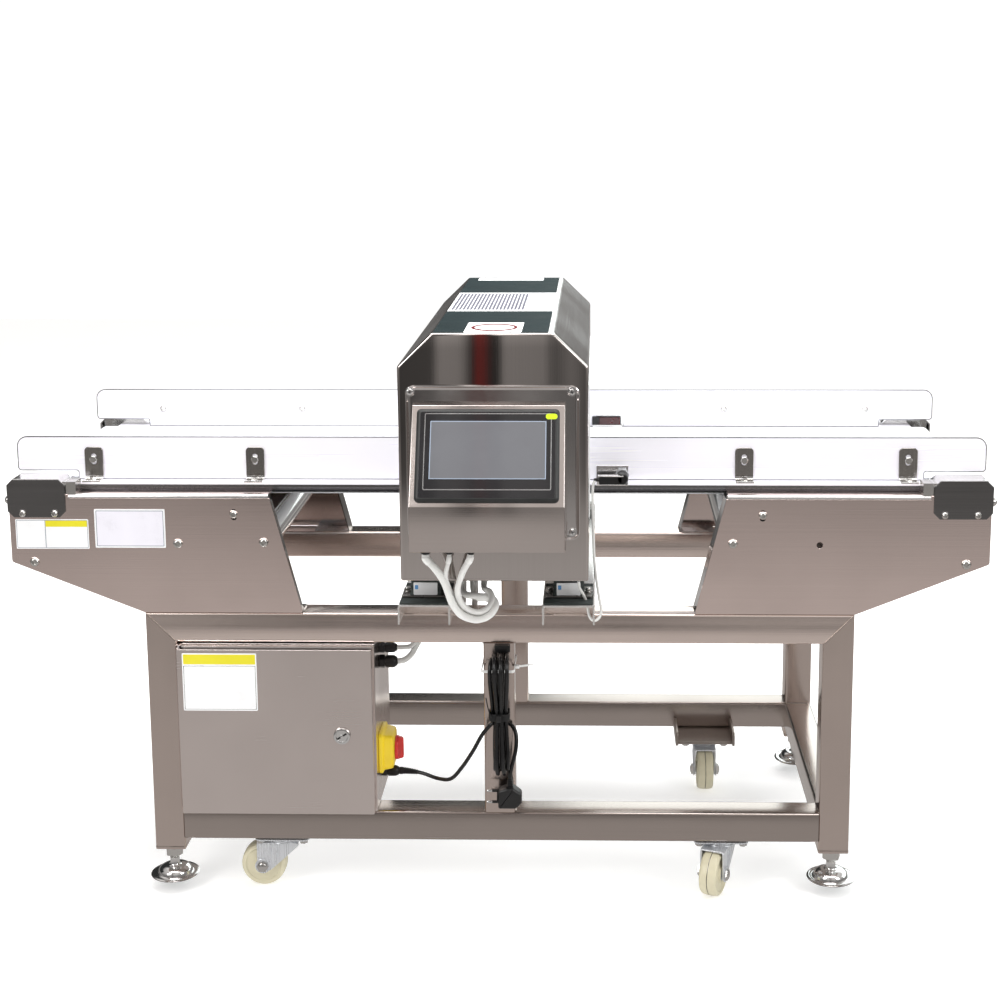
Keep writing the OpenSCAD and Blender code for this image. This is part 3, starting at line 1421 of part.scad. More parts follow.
place() cable_glands();
place() circuit_units();
place() photo_sensor();
place() reflector();
place() fixed_cables();
place() mains_lead();
place() cord_hank();
place() plug_lead();
place() mains_plug();
place() cord_ties();
place() fasteners();
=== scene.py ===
"""Looks of the food metal detector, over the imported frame.

Shapes are worked out in millimetres with y = 0 on the stand's front face and z = 0 on the floor.
Piece.done() turns them into metres in the row frame, where that face is at y = ROW.
"""

import math

import bmesh
import bpy
import numpy as np
from mathutils import Matrix, Vector
from mathutils.geometry import tessellate_polygon


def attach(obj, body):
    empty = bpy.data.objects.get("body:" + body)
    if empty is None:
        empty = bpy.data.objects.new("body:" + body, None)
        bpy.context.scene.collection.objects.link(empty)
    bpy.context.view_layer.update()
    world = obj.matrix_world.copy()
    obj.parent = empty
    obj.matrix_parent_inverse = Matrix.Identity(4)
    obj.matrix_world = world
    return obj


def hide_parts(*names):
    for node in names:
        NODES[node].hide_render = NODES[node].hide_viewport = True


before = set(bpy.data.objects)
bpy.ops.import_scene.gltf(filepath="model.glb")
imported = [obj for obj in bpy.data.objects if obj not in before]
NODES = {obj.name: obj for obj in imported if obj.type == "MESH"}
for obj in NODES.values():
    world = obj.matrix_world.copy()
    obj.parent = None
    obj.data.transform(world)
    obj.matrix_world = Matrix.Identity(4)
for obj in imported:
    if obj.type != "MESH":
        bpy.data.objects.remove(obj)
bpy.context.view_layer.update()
# Where the stand's front face lies in the row frame, in millimetres
ROW = -254.9388


def place(p):
    """Points in millimetres, taken to the row frame in metres."""
    p = np.asarray(p, float)
    return (p + np.array([0.0, ROW, 0.0])) / 1000.0


# Camera


def make_camera():
    """Camera of the photograph: a fitted position, three small turns and a shifted picture."""
    pitch, yaw, roll = 0.1684, 0.0225, -0.0032
    stand_point = [157.609, -2595.93, 1305.756]
    focal_in_pixels, picture_width, sensor_width = 1674.042, 1000.0, 36.0
    side = np.array([math.cos(yaw), math.sin(yaw), 0.0])
    ahead = np.array([-math.sin(yaw), math.cos(yaw), 0.0])
    up = np.array([0.0, 0.0, 1.0])
    look = math.cos(pitch) * ahead - math.sin(pitch) * up
    top = math.sin(pitch) * ahead + math.cos(pitch) * up
    x_axis = math.cos(roll) * side + math.sin(roll) * top
    y_axis = -math.sin(roll) * side + math.cos(roll) * top
    data = bpy.data.cameras.new("camera")
    data.sensor_width = sensor_width
    data.lens = focal_in_pixels * sensor_width / picture_width
    data.shift_x = -0.059
    data.shift_y = -0.12
    data.clip_end = 50.0
    cam = bpy.data.objects.new("camera", data)
    bpy.context.scene.collection.objects.link(cam)
    m = Matrix.Identity(4)
    for row in range(3):
        m[row][0], m[row][1], m[row][2] = x_axis[row], y_axis[row], -look[row]
        m[row][3] = place(stand_point)[row]
    cam.matrix_world = m
    bpy.context.scene.camera = cam


make_camera()


# Materials


def give(socket, value):
    """Links another node's output to an input, or sets the input; a colour becomes opaque."""
    if isinstance(value, bpy.types.NodeSocket):
        socket.id_data.links.new(value, socket)
    elif socket.type == "RGBA":
        socket.default_value = (*value, 1.0)
    else:
        socket.default_value = value


class Nodes:
    """Builds a node tree; each value is a number, a colour or another node's output."""

    def __init__(self, tree):
        self.tree = tree

    def node(self, kind, values=(), **settings):
        """New node with its settings and the values of its inputs, by name or by place."""
        n = self.tree.nodes.new(kind)
        for key, value in settings.items():
            setattr(n, key, value)
        for key, value in dict(values).items():
            give(n.inputs[key], value)
        return n

    def noise(self, vector, scale, detail, rough):
        """Cloudy noise about 0.5."""
        values = {"Vector": vector, "Scale": scale, "Detail": detail, "Roughness": rough}
        return self.node("ShaderNodeTexNoise", values).outputs["Fac"]

    def ramp(self, fac, stops):
        """Colour read from stops, each a place and a colour."""
        r = self.node("ShaderNodeValToRGB", {"Fac": fac})
        while len(r.color_ramp.elements) < len(stops):
            r.color_ramp.elements.new(0.5)
        for e, (pos, col) in zip(r.color_ramp.elements, stops):
            e.position = pos
            e.color = (*col, 1.0)
        return r.outputs["Color"]

    def range(self, fac, low, high):
        """The noise's middle part, from 0.3 to 0.7, stretched from low to high."""
        values = {"Value": fac, "From Min": 0.3, "From Max": 0.7, "To Min": low, "To Max": high}
        return self.node("ShaderNodeMapRange", values).outputs["Result"]

    def math(self, operation, *values):
        """One operation on its values."""
        return self.node("ShaderNodeMath", enumerate(values), operation=operation).outputs["Value"]

    def mix(self, fac, a, b, blend="MIX"):
        """Colour a changed into b by fac."""
        values = {0: fac, 6: a, 7: b}
        return self.node("ShaderNodeMix", values, data_type="RGBA", blend_type=blend).outputs[2]


class Shader(Nodes):
    """One material."""

    def __init__(self, name):
        self.mat = bpy.data.materials.new(name)
        self.mat.use_nodes = True
        super().__init__(self.mat.node_tree)
        self.bsdf = self.tree.nodes["Principled BSDF"]

    def coords(self, scale=(1, 1, 1), shift=(0, 0, 0)):
        """The object's own coordinates, scaled and shifted."""
        own = self.node("ShaderNodeTexCoord").outputs["Object"]
        return self.node("ShaderNodeMapping",
                         {"Vector": own, "Scale": scale, "Location": shift}).outputs["Vector"]

    def bump(self, height, strength, distance):
        """Small relief in the surface."""
        values = {"Height": height, "Strength": strength, "Distance": distance}
        self.put("Normal", self.node("ShaderNodeBump", values).outputs["Normal"])

    def put(self, name, value):
        """Sets or links one input of the surface."""
        give(self.bsdf.inputs[name], value)


def scaled(colour, by):
    """Colour made darker or brighter, up to white."""
    return tuple(min(1.0, c * by) for c in colour)


STREAK = {"X": (2.5, 900.0, 900.0), "Y": (900.0, 2.5, 900.0), "Z": (900.0, 900.0, 2.5)}


def brushed(name, colour, along, rough, tone, cloud=0.06, depth=0.10, haze=1.0, metal=1.0):
    """Brushed sheet: streaks along one axis move tone, roughness and height; clouds are handling marks."""
    s = Shader(name)
    streak = s.noise(s.coords(STREAK[along]), 1.0, 4.0, 0.65)
    coarse = s.noise(s.coords(tuple(v / 6.0 for v in STREAK[along])), 1.0, 2.0, 0.5)
    clouds = s.noise(s.coords(shift=(3.1, 1.7, 0.4)), 5.0, 3.0, 0.55)
    body = s.ramp(streak, [(0.3, scaled(colour, 1 - tone)), (0.7, scaled(colour, 1 + tone))])
    body = s.mix(s.range(coarse, 0.0, 0.5), body, scaled(colour, 1 - tone * 0.8))
    body = s.mix(s.range(clouds, 0.0, cloud * 4), body, scaled(colour, 0.86))
    s.put("Base Color", body)
    s.put("Metallic", metal)
    r = s.math("ADD", s.range(streak, rough[0], rough[1]), s.range(clouds, -0.03 * haze, 0.05 * haze))
    s.put("Roughness", r)
    s.bump(streak, depth, 0.0004)
    return s.mat


def polished(name, colour, rough):
    """Polished metal with faint swirls and finger marks in its roughness."""
    tone = 0.05
    s = Shader(name)
    swirl = s.noise(s.coords(), 60.0, 5.0, 0.6)
    marks = s.noise(s.coords(shift=(0.7, 2.3, 1.1)), 14.0, 3.0, 0.6)
    s.put("Base Color", s.ramp(marks, [(0.3, scaled(colour, 1 - tone)), (0.7, colour)]))
    s.put("Metallic", 1.0)
    s.put("Roughness", s.math("ADD", s.range(marks, rough * 0.7, rough * 1.5), s.range(swirl, 0.0, 0.03)))
    s.bump(swirl, 0.02, 0.0003)
    return s.mat


def plastic(name, colour, rough=0.42, grain=900.0, depth=0.10, vary=0.10, coat=0.0, shine=0.5):
    """Moulded plastic or paint: fine grain in the height and slow change of tone and gloss."""
    s = Shader(name)
    fine = s.noise(s.coords(), grain, 3.0, 0.6)
    slow = s.noise(s.coords(shift=(1.3, 0.2, 2.9)), 18.0, 4.0, 0.55)
    low = scaled(colour, 1 - vary)
    high = tuple(min(1.0, c * (1 + vary) + 0.002) for c in colour)
    s.put("Base Color", s.ramp(slow, [(0.32, low), (0.68, high)]))
    s.put("Roughness", s.math("ADD", s.range(slow, rough - 0.05, rough + 0.06), s.range(fine, -0.02, 0.03)))
    s.put("Coat Weight", coat)
    s.put("Specular IOR Level", shine)
    s.bump(fine, depth, 0.0003)
    return s.mat


def cast(name, colour, rough=0.55):
    """Cast resin or painted casting: mottled tone with a coarse skin."""
    s = Shader(name)
    skin = s.node("ShaderNodeTexVoronoi", {"Vector": s.coords(), "Scale": 260.0}).outputs["Distance"]
    slow = s.noise(s.coords(), 22.0, 5.0, 0.6)
    s.put("Base Color", s.ramp(slow, [(0.3, scaled(colour, 0.8)), (0.7, scaled(colour, 1.15))]))
    s.put("Roughness", s.range(slow, rough - 0.1, rough + 0.1))
    s.bump(skin, 0.2, 0.0006)
    return s.mat


def glowing_pale_sheet(name, colour):
    """Guard sheet painted nearly white as a painted reflection of the white room, a little metallic, with
    faint long streaks and a faint glow of painted light.
    """
    s = Shader(name)
    streak = s.noise(s.coords((1.2, 60.0, 60.0)), 1.0, 3.0, 0.5)
    clouds = s.noise(s.coords(shift=(2.2, 0.3, 1.4)), 3.0, 3.0, 0.5)
    body = s.ramp(streak, [(0.3, scaled(colour, 0.97)), (0.7, scaled(colour, 1.03))])
    body = s.mix(s.range(clouds, 0.0, 0.7), body, (0.93, 0.93, 0.93))
    s.put("Base Color", body)
    s.put("Metallic", 0.15)
    s.put("Roughness", s.range(streak, 0.22, 0.34))
    # Painted light: the sheet glows faintly, though it is no lamp
    s.put("Emission Color", (0.93, 0.91, 1.0))
    s.put("Emission Strength", 0.22)
    s.bump(streak, 0.03, 0.0004)
    return s.mat


FINISH = {
    # Stand and wheels
    # The tube finishes are one steel whose tones are scaled apart as painted light: the lower long rails
    # darkest, the end tubes and uprights lighter, the upper long rails brightest as a painted highlight
    "tube_x": brushed("steel_tube_x", (0.50, 0.44, 0.41), "X", (0.15, 0.24), 0.05),
    "tube_top_lit": brushed("steel_tube_top_lit", (0.96, 0.83, 0.77), "X", (0.13, 0.22), 0.05),
    "tube_y": brushed("steel_tube_y", (0.60, 0.55, 0.52), "Y", (0.15, 0.24), 0.05),
    "tube_z": brushed("steel_tube_z", (0.67, 0.575, 0.53), "Z", (0.15, 0.24), 0.05),
    "plate": brushed("steel_plate", (0.40, 0.35, 0.32), "Y", (0.30, 0.45), 0.08),
    "zinc": brushed("zinc_plate", (0.70, 0.72, 0.75), "Z", (0.22, 0.34), 0.08, metal=0.55),
    "nylon": plastic("cream_nylon", (0.62, 0.58, 0.42), 0.38, 500.0, 0.10, 0.06),
    "chrome": polished("bright_steel", (0.80, 0.80, 0.80), 0.10),
    "bolt": polished("bolt_steel", (0.70, 0.69, 0.67), 0.16),
    "dark_nut": polished("dark_nut", (0.22, 0.21, 0.20), 0.26),
    "rubber": plastic("black_rubber", (0.026, 0.034, 0.032), 0.62, 700.0, 0.20, 0.18),
    # Conveyor
    "wing": brushed("wing_sheet", (0.90, 0.76, 0.715), "X", (0.08, 0.14), 0.04, 0.05, 0.04),
    "wing_roll": polished("wing_roll", (0.84, 0.83, 0.83), 0.16),
    "wing_return": polished("wing_return", (0.78, 0.77, 0.77), 0.07),
    # Copy of the return steel darkened as painted shade, for the left slanted returns
    "return_painted_shade": brushed("return_painted_shade", (0.22, 0.20, 0.19), "Z", (0.12, 0.20), 0.06),
    "pan": brushed("pan_sheet", (0.44, 0.42, 0.40), "Y", (0.25, 0.38), 0.06),
    # The bed's steel is darkened as painted shade, for its lip in the shade of the guards
    "bed": brushed("bed_lip_shaded", (0.36, 0.36, 0.37), "X", (0.14, 0.24), 0.10),
    "belt": plastic("food_belt", (0.86, 0.88, 0.91), 0.42, 1400.0, 0.12, 0.03),
    # The guards' bright steel painted near white with a faint glow: painted reflection and painted light
    "guard": glowing_pale_sheet("guard_painted_white", (0.83, 0.82, 0.88)),
    "guard_edge": brushed("guard_edge", (0.20, 0.20, 0.22), "X", (0.20, 0.30), 0.08),
    # The guard angles' upright leg, their steel darkened as painted shade; the foot takes the bright
    # bracket_foot steel
    "bracket": brushed("bracket_steel_shaded", (0.42, 0.40, 0.38), "Z", (0.12, 0.22), 0.08),
    "bracket_foot": polished("bracket_foot", (0.82, 0.81, 0.80), 0.16),
    # The end caps' face, their steel darkened as painted shade beside the bright lid
    "cap_face_shaded": brushed("cap_face_shaded", (0.24, 0.235, 0.235), "X", (0.10, 0.18), 0.08),
    "cap_lid": polished("cap_lid", (0.86, 0.85, 0.85), 0.18),
    "roller": brushed("roller_steel", (0.76, 0.76, 0.76), "Y", (0.12, 0.22), 0.05),
    "motor": cast("motor_paint", (0.16, 0.18, 0.20), 0.42),
    # Detector head
    "head": brushed("head_sheet", (0.62, 0.575, 0.555), "Z", (0.014, 0.026), 0.03, 0.03, 0.004, 0.12),
    "head_top": brushed("head_crest", (0.70, 0.70, 0.70), "Y", (0.10, 0.18), 0.03, 0.03, 0.03),
    "head_side": brushed("head_side", (0.66, 0.65, 0.64), "Y", (0.10, 0.18), 0.04),
    "liner": plastic("tunnel_plastic", (0.84, 0.85, 0.85), 0.36, 900.0, 0.06, 0.03),
    "resin": cast("coil_resin", (0.40, 0.29, 0.11)),
    "channel": brushed("channel_sheet", (0.86, 0.84, 0.82), "Y", (0.18, 0.28), 0.05, metal=0.8),
    "green_film": plastic("green_film", (0.0105, 0.0190, 0.0210), 0.50, 500.0, 0.03, 0.12, 0.0, 0.04),
    "crest_rib": plastic("crest_rib", (0.115, 0.115, 0.145), 0.50, 900.0, 0.03, 0.04, 0.0, 0.05),
    "crest_tag": plastic("crest_tag", (0.82, 0.82, 0.82), 0.50, 900.0, 0.03, 0.03, 0.0, 0.05),
    "ring_red": plastic("ring_red", (0.12, 0.003, 0.006), 0.50, 900.0, 0.03, 0.05, 0.0, 0.05),
    "blue_band": plastic("blue_band", (0.10, 0.30, 0.62), 0.34, 900.0, 0.03, 0.05),
    # Operator panel
    "panel": brushed("console_sheet", (0.65, 0.59, 0.565), "X", (0.12, 0.20), 0.04, 0.04, 0.04),
    "rim": polished("console_rim", (0.70, 0.67, 0.66), 0.05),
    "gloss_black": plastic("gloss_black", (0.012, 0.012, 0.014), 0.14, 900.0, 0.02, 0.10, 0.5),
    "bezel_skirt": plastic("bezel_skirt", (0.020, 0.021, 0.021), 0.45, 700.0, 0.12, 0.10),
    "silver_line": polished("silver_line", (0.72, 0.73, 0.74), 0.20),
    "screen": plastic("screen_glass", (0.150, 0.155, 0.170), 0.12, 1200.0, 0.01, 0.03, 0.5),
    "screen_edge": plastic("screen_edge", (0.36, 0.43, 0.54), 0.20, 900.0, 0.01, 0.04, 0.3),
    "status_film": plastic("status_film", (0.62, 0.86, 0.02), 0.30, 900.0, 0.03, 0.05),
    # Control cabinet and plates
    "cabinet": brushed("cabinet_sheet", (0.84, 0.76, 0.73), "X", (0.20, 0.25), 0.02, 0.05, 0.02),
    "gasket": plastic("gasket_foam", (0.018, 0.018, 0.019), 0.7, 500.0, 0.25, 0.2),
    "board": plastic("circuit_units_dark", (0.075, 0.085, 0.090), 0.40, 300.0, 0.10, 0.20),
    "yellow": plastic("yellow_plastic", (1.0, 0.71, 0.014), 0.36, 900.0, 0.08, 0.05),
    "red": plastic("red_plastic", (0.66, 0.025, 0.02), 0.28, 900.0, 0.06, 0.06, 0.3),
    "label": plastic("label_film", (0.86, 0.87, 0.88), 0.30, 1200.0, 0.03, 0.03),
    "frame_line": plastic("frame_line", (0.24, 0.26, 0.32), 0.35, 900.0, 0.03, 0.05),
    "lilac_film": plastic("lilac_film", (0.80, 0.79, 0.86), 0.30, 1200.0, 0.03, 0.03),
    "yellow_band": plastic("yellow_band", (0.74, 0.67, 0.02), 0.32, 900.0, 0.03, 0.03),
    # Cables and light barrier
    "black": plastic("black_plastic", (0.009, 0.009, 0.0095), 0.32, 1200.0, 0.16, 0.15),
    "white": plastic("white_plastic", (0.86, 0.86, 0.84), 0.40, 900.0, 0.06, 0.04),
    "pvc": plastic("pvc_sheath", (0.007, 0.007, 0.0075), 0.24, 1500.0, 0.08, 0.15),
    "sleeve": plastic("woven_sleeve", (0.74, 0.74, 0.72), 0.66, 420.0, 0.35, 0.07),
    "grey_sheath": plastic("pale_sheath", (0.72, 0.72, 0.70), 0.38, 1500.0, 0.06, 0.05),
    "tie_white": plastic("tie_white", (0.80, 0.80, 0.79), 0.36, 900.0, 0.06, 0.05),
    "reflector": plastic("reflector_red", (0.22, 0.012, 0.02), 0.20, 900.0, 0.05, 0.10, 0.4),
    "prism_red": plastic("prism_red", (0.056, 0.004, 0.005), 0.18, 260.0, 0.45, 0.25, 0.5),
}


# Mesh helpers


class Piece:
    """Collects vertices in millimetres and faces, then makes one object of them."""

    def __init__(self):
        self.verts, self.faces, self.mats, self.count = [], [], [], 0

    def add(self, shape, mat=0, move=(0, 0, 0), turn=None, flip=None):
        """Adds a shape, turned, moved and mirrored; flip is an axis and the place of its mirror."""
        verts, faces = shape
        v = np.asarray(verts, float)
        if turn is not None:
            v = v @ np.asarray(turn, float).T
        v = v + np.asarray(move, float)
        if flip is not None:
            axis, about = flip
            v = v.copy()
            v[:, axis] = 2 * about - v[:, axis]
            faces = [tuple(reversed(f)) for f in faces]
        self.verts.append(v)
        self.faces += [tuple(i + self.count for i in f) for f in faces]
        self.mats += [mat] * len(faces)
        self.count += len(v)
        return self

    def done(self, name, mats, body="stand", slot="stainless_brushed", replaces=(), angle=32):
        """Makes the object, with smooth faces up to an angle, and ties it to its body and CAD nodes; slot is
        not used.
        """
        verts = place(np.vstack(self.verts))
        me = bpy.data.meshes.new(name)
        me.from_pydata(verts.tolist(), [], self.faces)
        for m in mats:
            me.materials.append(FINISH[m])
        me.polygons.foreach_set("material_index", np.array(self.mats, np.int32))
        bm = bmesh.new()
        bm.from_mesh(me)
        bmesh.ops.remove_doubles(bm, verts=bm.verts, dist=1e-6)
        bmesh.ops.recalc_face_normals(bm, faces=bm.faces)
        bm.to_mesh(me)
        bm.free()
        me.polygons.foreach_set("use_smooth", np.ones(len(me.polygons), bool))
        me.set_sharp_from_angle(angle=math.radians(angle))
        obj = bpy.data.objects.new(name, me)
        bpy.context.scene.collection.objects.link(obj)
        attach(obj, body)
        if replaces:
            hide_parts(*replaces)
        return obj


def turned(axis, degrees):
    """Turn about one axis, as a matrix."""
    a = math.radians(degrees)
    c, s = math.cos(a), math.sin(a)
    return np.array({
        "X": [[1, 0, 0], [0, c, -s], [0, s, c]],
        "Y": [[c, 0, s], [0, 1, 0], [-s, 0, c]],
        "Z": [[c, -s, 0], [s, c, 0], [0, 0, 1]],
    }[axis], float)


# Turns that take local Z to each side
FRONT, BACKWARD, UP, DOWN = turned("X", 90), turned("X", -90), np.eye(3), turned("X", 180)
RIGHT, LEFT = turned("Y", 90), turned("Y", -90)


def rings(loops, close_start=True, close_end=True):
    """Skin over closed loops of equal length, in order."""
    loops = [np.asarray(p, float) for p in loops]
    n = len(loops[0])
    faces = []
    for i in range(len(loops) - 1):
        a, b = i * n, (i + 1) * n
        faces += [(a + k, a + (k + 1) % n, b + (k + 1) % n, b + k) for k in range(n)]
    if close_start:
        faces.append(tuple(range(n - 1, -1, -1)))
    if close_end:
        faces.append(tuple((len(loops) - 1) * n + k for k in range(n)))
    return np.vstack(loops), faces


def lathe(profile, n=40):
    """Turns (radius, height) pairs about local Z; a radius of 0 closes the end."""
    loops = [lifted(circle(0, 0, max(r, 1e-4), n), h, "Z") for r, h in profile]
    ring = profile[0] == profile[-1]
    return rings(loops, not ring, not ring)


def rbox(low, high, r=1.0, n=2):
    """Box between two corners with edges rounded by r in n steps."""
    low, high = np.minimum(low, high).astype(float), np.maximum(low, high).astype(float)
    half, mid = (high - low) / 2, (high + low) / 2
    r = min(r, *(half * 0.99))
    steps = 1 - np.cos(np.linspace(0, np.pi / 2, n + 1))
    lines = [np.concatenate([-h + r * steps, h - r * steps[::-1]]) for h in half]
    verts, faces, base = [], [], 0
    for axis in range(3):
        u, v = (axis + 1) % 3, (axis + 2) % 3
        for s in (-1, 1):
            gu, gv = np.meshgrid(lines[u], lines[v], indexing="ij")
            p = np.zeros((gu.size, 3))
            p[:, u], p[:, v], p[:, axis] = gu.ravel(), gv.ravel(), s * half[axis]
            q = np.clip(p, -(half - r), half - r)
            d = p - q
            p = q + d / np.linalg.norm(d, axis=1, keepdims=True) * r
            verts.append(p + mid)
            nu, nv = gu.shape
            for i in range(nu - 1):
                for j in range(nv - 1):
                    here, after = base + i * nv + j, base + (i + 1) * nv + j
                    f = (here, after, after + 1, here + 1)
                    faces.append(f if s > 0 else f[::-1])
            base += len(p)
    return np.vstack(verts), faces


def rounded(points, r, n=5):
    """Flat outline with its corners rounded; r is one radius or one for each corner."""
    pts = np.asarray(points, float)
    rs = [r] * len(pts) if isinstance(r, (int, float)) else list(r)
    out = []
    for i, p in enumerate(pts):
        a, b = pts[i - 1] - p, pts[(i + 1) % len(pts)] - p
        la, lb = np.linalg.norm(a), np.linalg.norm(b)
        a, b = a / la, b / lb
        half = math.acos(max(-1, min(1, float(a @ b)))) / 2
        t = min(rs[i] / math.tan(half), la * 0.49, lb * 0.49) if half > 1e-3 else 0
        if t < 1e-3:
            out.append(p)
            continue
        rr = t * math.tan(half)
        c = p + (a + b) / np.linalg.norm(a + b) * rr / math.sin(half)
        s, e = p + a * t - c, p + b * t - c
        sweep = math.atan2(s[0] * e[1] - s[1] * e[0], float(s @ e))
        for k in range(n + 1):
            cos, sin = math.cos(sweep * k / n), math.sin(sweep * k / n)
            out.append(c + np.array([s[0] * cos - s[1] * sin, s[0] * sin + s[1] * cos]))
    return np.array(out)


def inset(points, d):
    """Outline moved inwards by d along its corner bisectors; the outline runs anticlockwise."""
    p = np.asarray(points, float)
    e1, e2 = p - np.roll(p, 1, 0), np.roll(p, -1, 0) - p
    n1 = np.stack([-e1[:, 1], e1[:, 0]], 1) / np.maximum(np.linalg.norm(e1, axis=1, keepdims=True), 1e-9)
    n2 = np.stack([-e2[:, 1], e2[:, 0]], 1) / np.maximum(np.linalg.norm(e2, axis=1, keepdims=True), 1e-9)
    m = n1 + n2
    k = np.maximum((m * m).sum(1, keepdims=True), 0.4)
    return p + 2 * d * m / k


def lengths(points):
    """Distance along a route to each of its points."""
    return np.concatenate([[0], np.cumsum(np.linalg.norm(np.diff(points, axis=0), axis=1))])


def read_at(points, at):
    """Points of a route at given distances along it."""
    d = lengths(points)
    return np.stack([np.interp(at, d, column) for column in points.T], 1)


def anticlockwise(points):
    """The outline, turned round if it runs clockwise."""
    p = np.asarray(points, float)
    area = np.sum(p[:, 0] * np.roll(p[:, 1], -1) - np.roll(p[:, 0], -1) * p[:, 1])
    return p if area > 0 else p[::-1]


def rectangle(a0, a1, b0, b1):
    """Corners of a rectangle, anticlockwise from its lowest one."""
    return [(a0, b0), (a1, b0), (a1, b1), (a0, b1)]


def circle(a, b, r, n=28):
    """Outline of n points round a centre; r is one distance or one for each point."""
    t = np.arange(n) * 2 * np.pi / n
    return np.stack([a + r * np.cos(t), b + r * np.sin(t)], 1)


def lifted(line, at, axis="Y"):
    """Flat outline set at one place along an axis: X and Z for axis Y, Y and Z for X, X and Y for Z."""
    a, b, z = line[:, 0], line[:, 1], np.full(len(line), at)
    return np.stack({"Y": (a, z, b), "X": (z, a, b), "Z": (a, b, z)}[axis], 1)


def slab(points, low, high, axis="Y", edge=0.6, steps=2):
    """Flat outline given thickness along an axis, with both rims rounded by edge; its plane is lifted()'s."""
    p = anticlockwise(points)
    edge = min(edge, abs(high - low) * 0.49)
    loops = []
    for i in range(steps + 1):
        t = np.pi / 2 * i / steps
        loops.append((inset(p, edge * (1 - math.sin(t))), low + edge * (1 - math.cos(t))))
    # A narrow flat rim keeps the rounded edge from bending the face's reflection
    loops.insert(0, (inset(loops[0][0], 0.05), low))
    loops += [(q, high + low - h) for q, h in reversed(loops)]
    return rings([lifted(q, h, axis) for q, h in loops])


def tube(path, r, n=12, ripple=None):
    """Tube along points; r is one radius or one for each point; ripple(angle, i) scales the radius."""
    p = np.asarray(path, float)
    t = np.gradient(p, axis=0)
    t /= np.linalg.norm(t, axis=1, keepdims=True)
    rs = np.full(len(p), r, float) if np.isscalar(r) else np.asarray(r, float)
    nrm = np.cross(t[0], [0.0, 0.0, 1.0] if abs(t[0][2]) < 0.9 else [1.0, 0.0, 0.0])
    loops, a = [], np.arange(n) * 2 * np.pi / n
    for i in range(len(p)):
        nrm = nrm - t[i] * (nrm @ t[i])
        nrm /= np.linalg.norm(nrm)
        b = np.cross(t[i], nrm)
        k = rs[i] * (np.ones(n) if ripple is None else ripple(a, i))
        loops.append(p[i] + k[:, None] * (np.cos(a)[:, None] * nrm + np.sin(a)[:, None] * b))
    return rings(loops)


def spline(points, steps):
    """Catmull-Rom curve through the points, straight along its first and last stretch."""
    p = np.asarray(points, float)
    out = [p[0]]
    for i in range(1, len(p) - 2):
        a, b, c, d = p[i - 1], p[i], p[i + 1], p[i + 2]
        for j in range(steps):
            t = j / steps
            square, cube = 2 * a - 5 * b + 4 * c - d, 3 * b - a - 3 * c + d
            out.append((2 * b + t * (c - a) + t * t * square + t ** 3 * cube) / 2)
    return np.array(out + [p[-2], p[-1]])


def anchored(points, start, end):
    """Route whose ends are moved onto two points; the points between follow."""
    p = np.asarray(points, float)
    n = len(p)
    share = np.clip((np.arange(n) - 1) / (n - 3), 0, 1)[:, None]
    return p + (np.asarray(start, float) - p[0]) * (1 - share) + (np.asarray(end, float) - p[-1]) * share


def hexnut(r, h, bore=0.0, chamfer=0.14):
    """Hexagon nut or head along local Z with chamfered corners; r is over the corners."""
    c = h * chamfer
    loops = [(r * 0.90, 0), (r, c), (r, h - c), (r * 0.90, h)]
    if bore:
        loops += [(bore, h), (bore, 0), (r * 0.90, 0)]
    return lathe(loops, 6)


# Mains lead: gland, hank, plug

LEAD_D = 6.4
LEAD_EXIT = (-172, 64, 187)
PLUG_TOP = (18, -26, 211)
HANK_MID = (2, -27.5, 321.5)
LOOPS = 5.5


def eased(v):
    """Half a cosine wave from 0 to 1."""
    return (1 - math.cos(math.pi * v)) / 2


def hank_point(s):
    """Point s loops along the hank: six columns of strands in two layers, drawn in at the waist.

    The loop's four parts are the front run, the top bend, the back run and the bottom bend.
    """
    half, cols = 75.0, 3
    waist, lobe = 3.6, 16.8
    layer_step, col_step, lobe_step = LEAD_D * 1.125, LEAD_D * 1.14, LEAD_D * 1.6
    q = ((s + 0.125) * 4 + 1e-9) % 4
    part, v = int(q), q % 1
    layer = eased(max(0.0, min(1.0, (s - cols + 0.125) * 4)))
    r = lobe + layer * layer_step
    across, over = r * math.cos(math.pi * v), r * math.sin(math.pi * v)
    z = (half * (2 * v - 1), half + over, half * (1 - 2 * v), -half - over)[part]
    depth = waist + layer * layer_step + (lobe - waist) * (1 - math.cos(math.pi * z / half)) / 2
    y = (-depth, -across, depth, across)[part]
    column = s - cols / 2 if s < cols else 1.5 * cols - s
    pitch = col_step + (lobe_step - col_step) * eased(min(1.0, abs(z) / half))
    return [HANK_MID[0] + column * pitch, HANK_MID[1] + y, HANK_MID[2] + z]


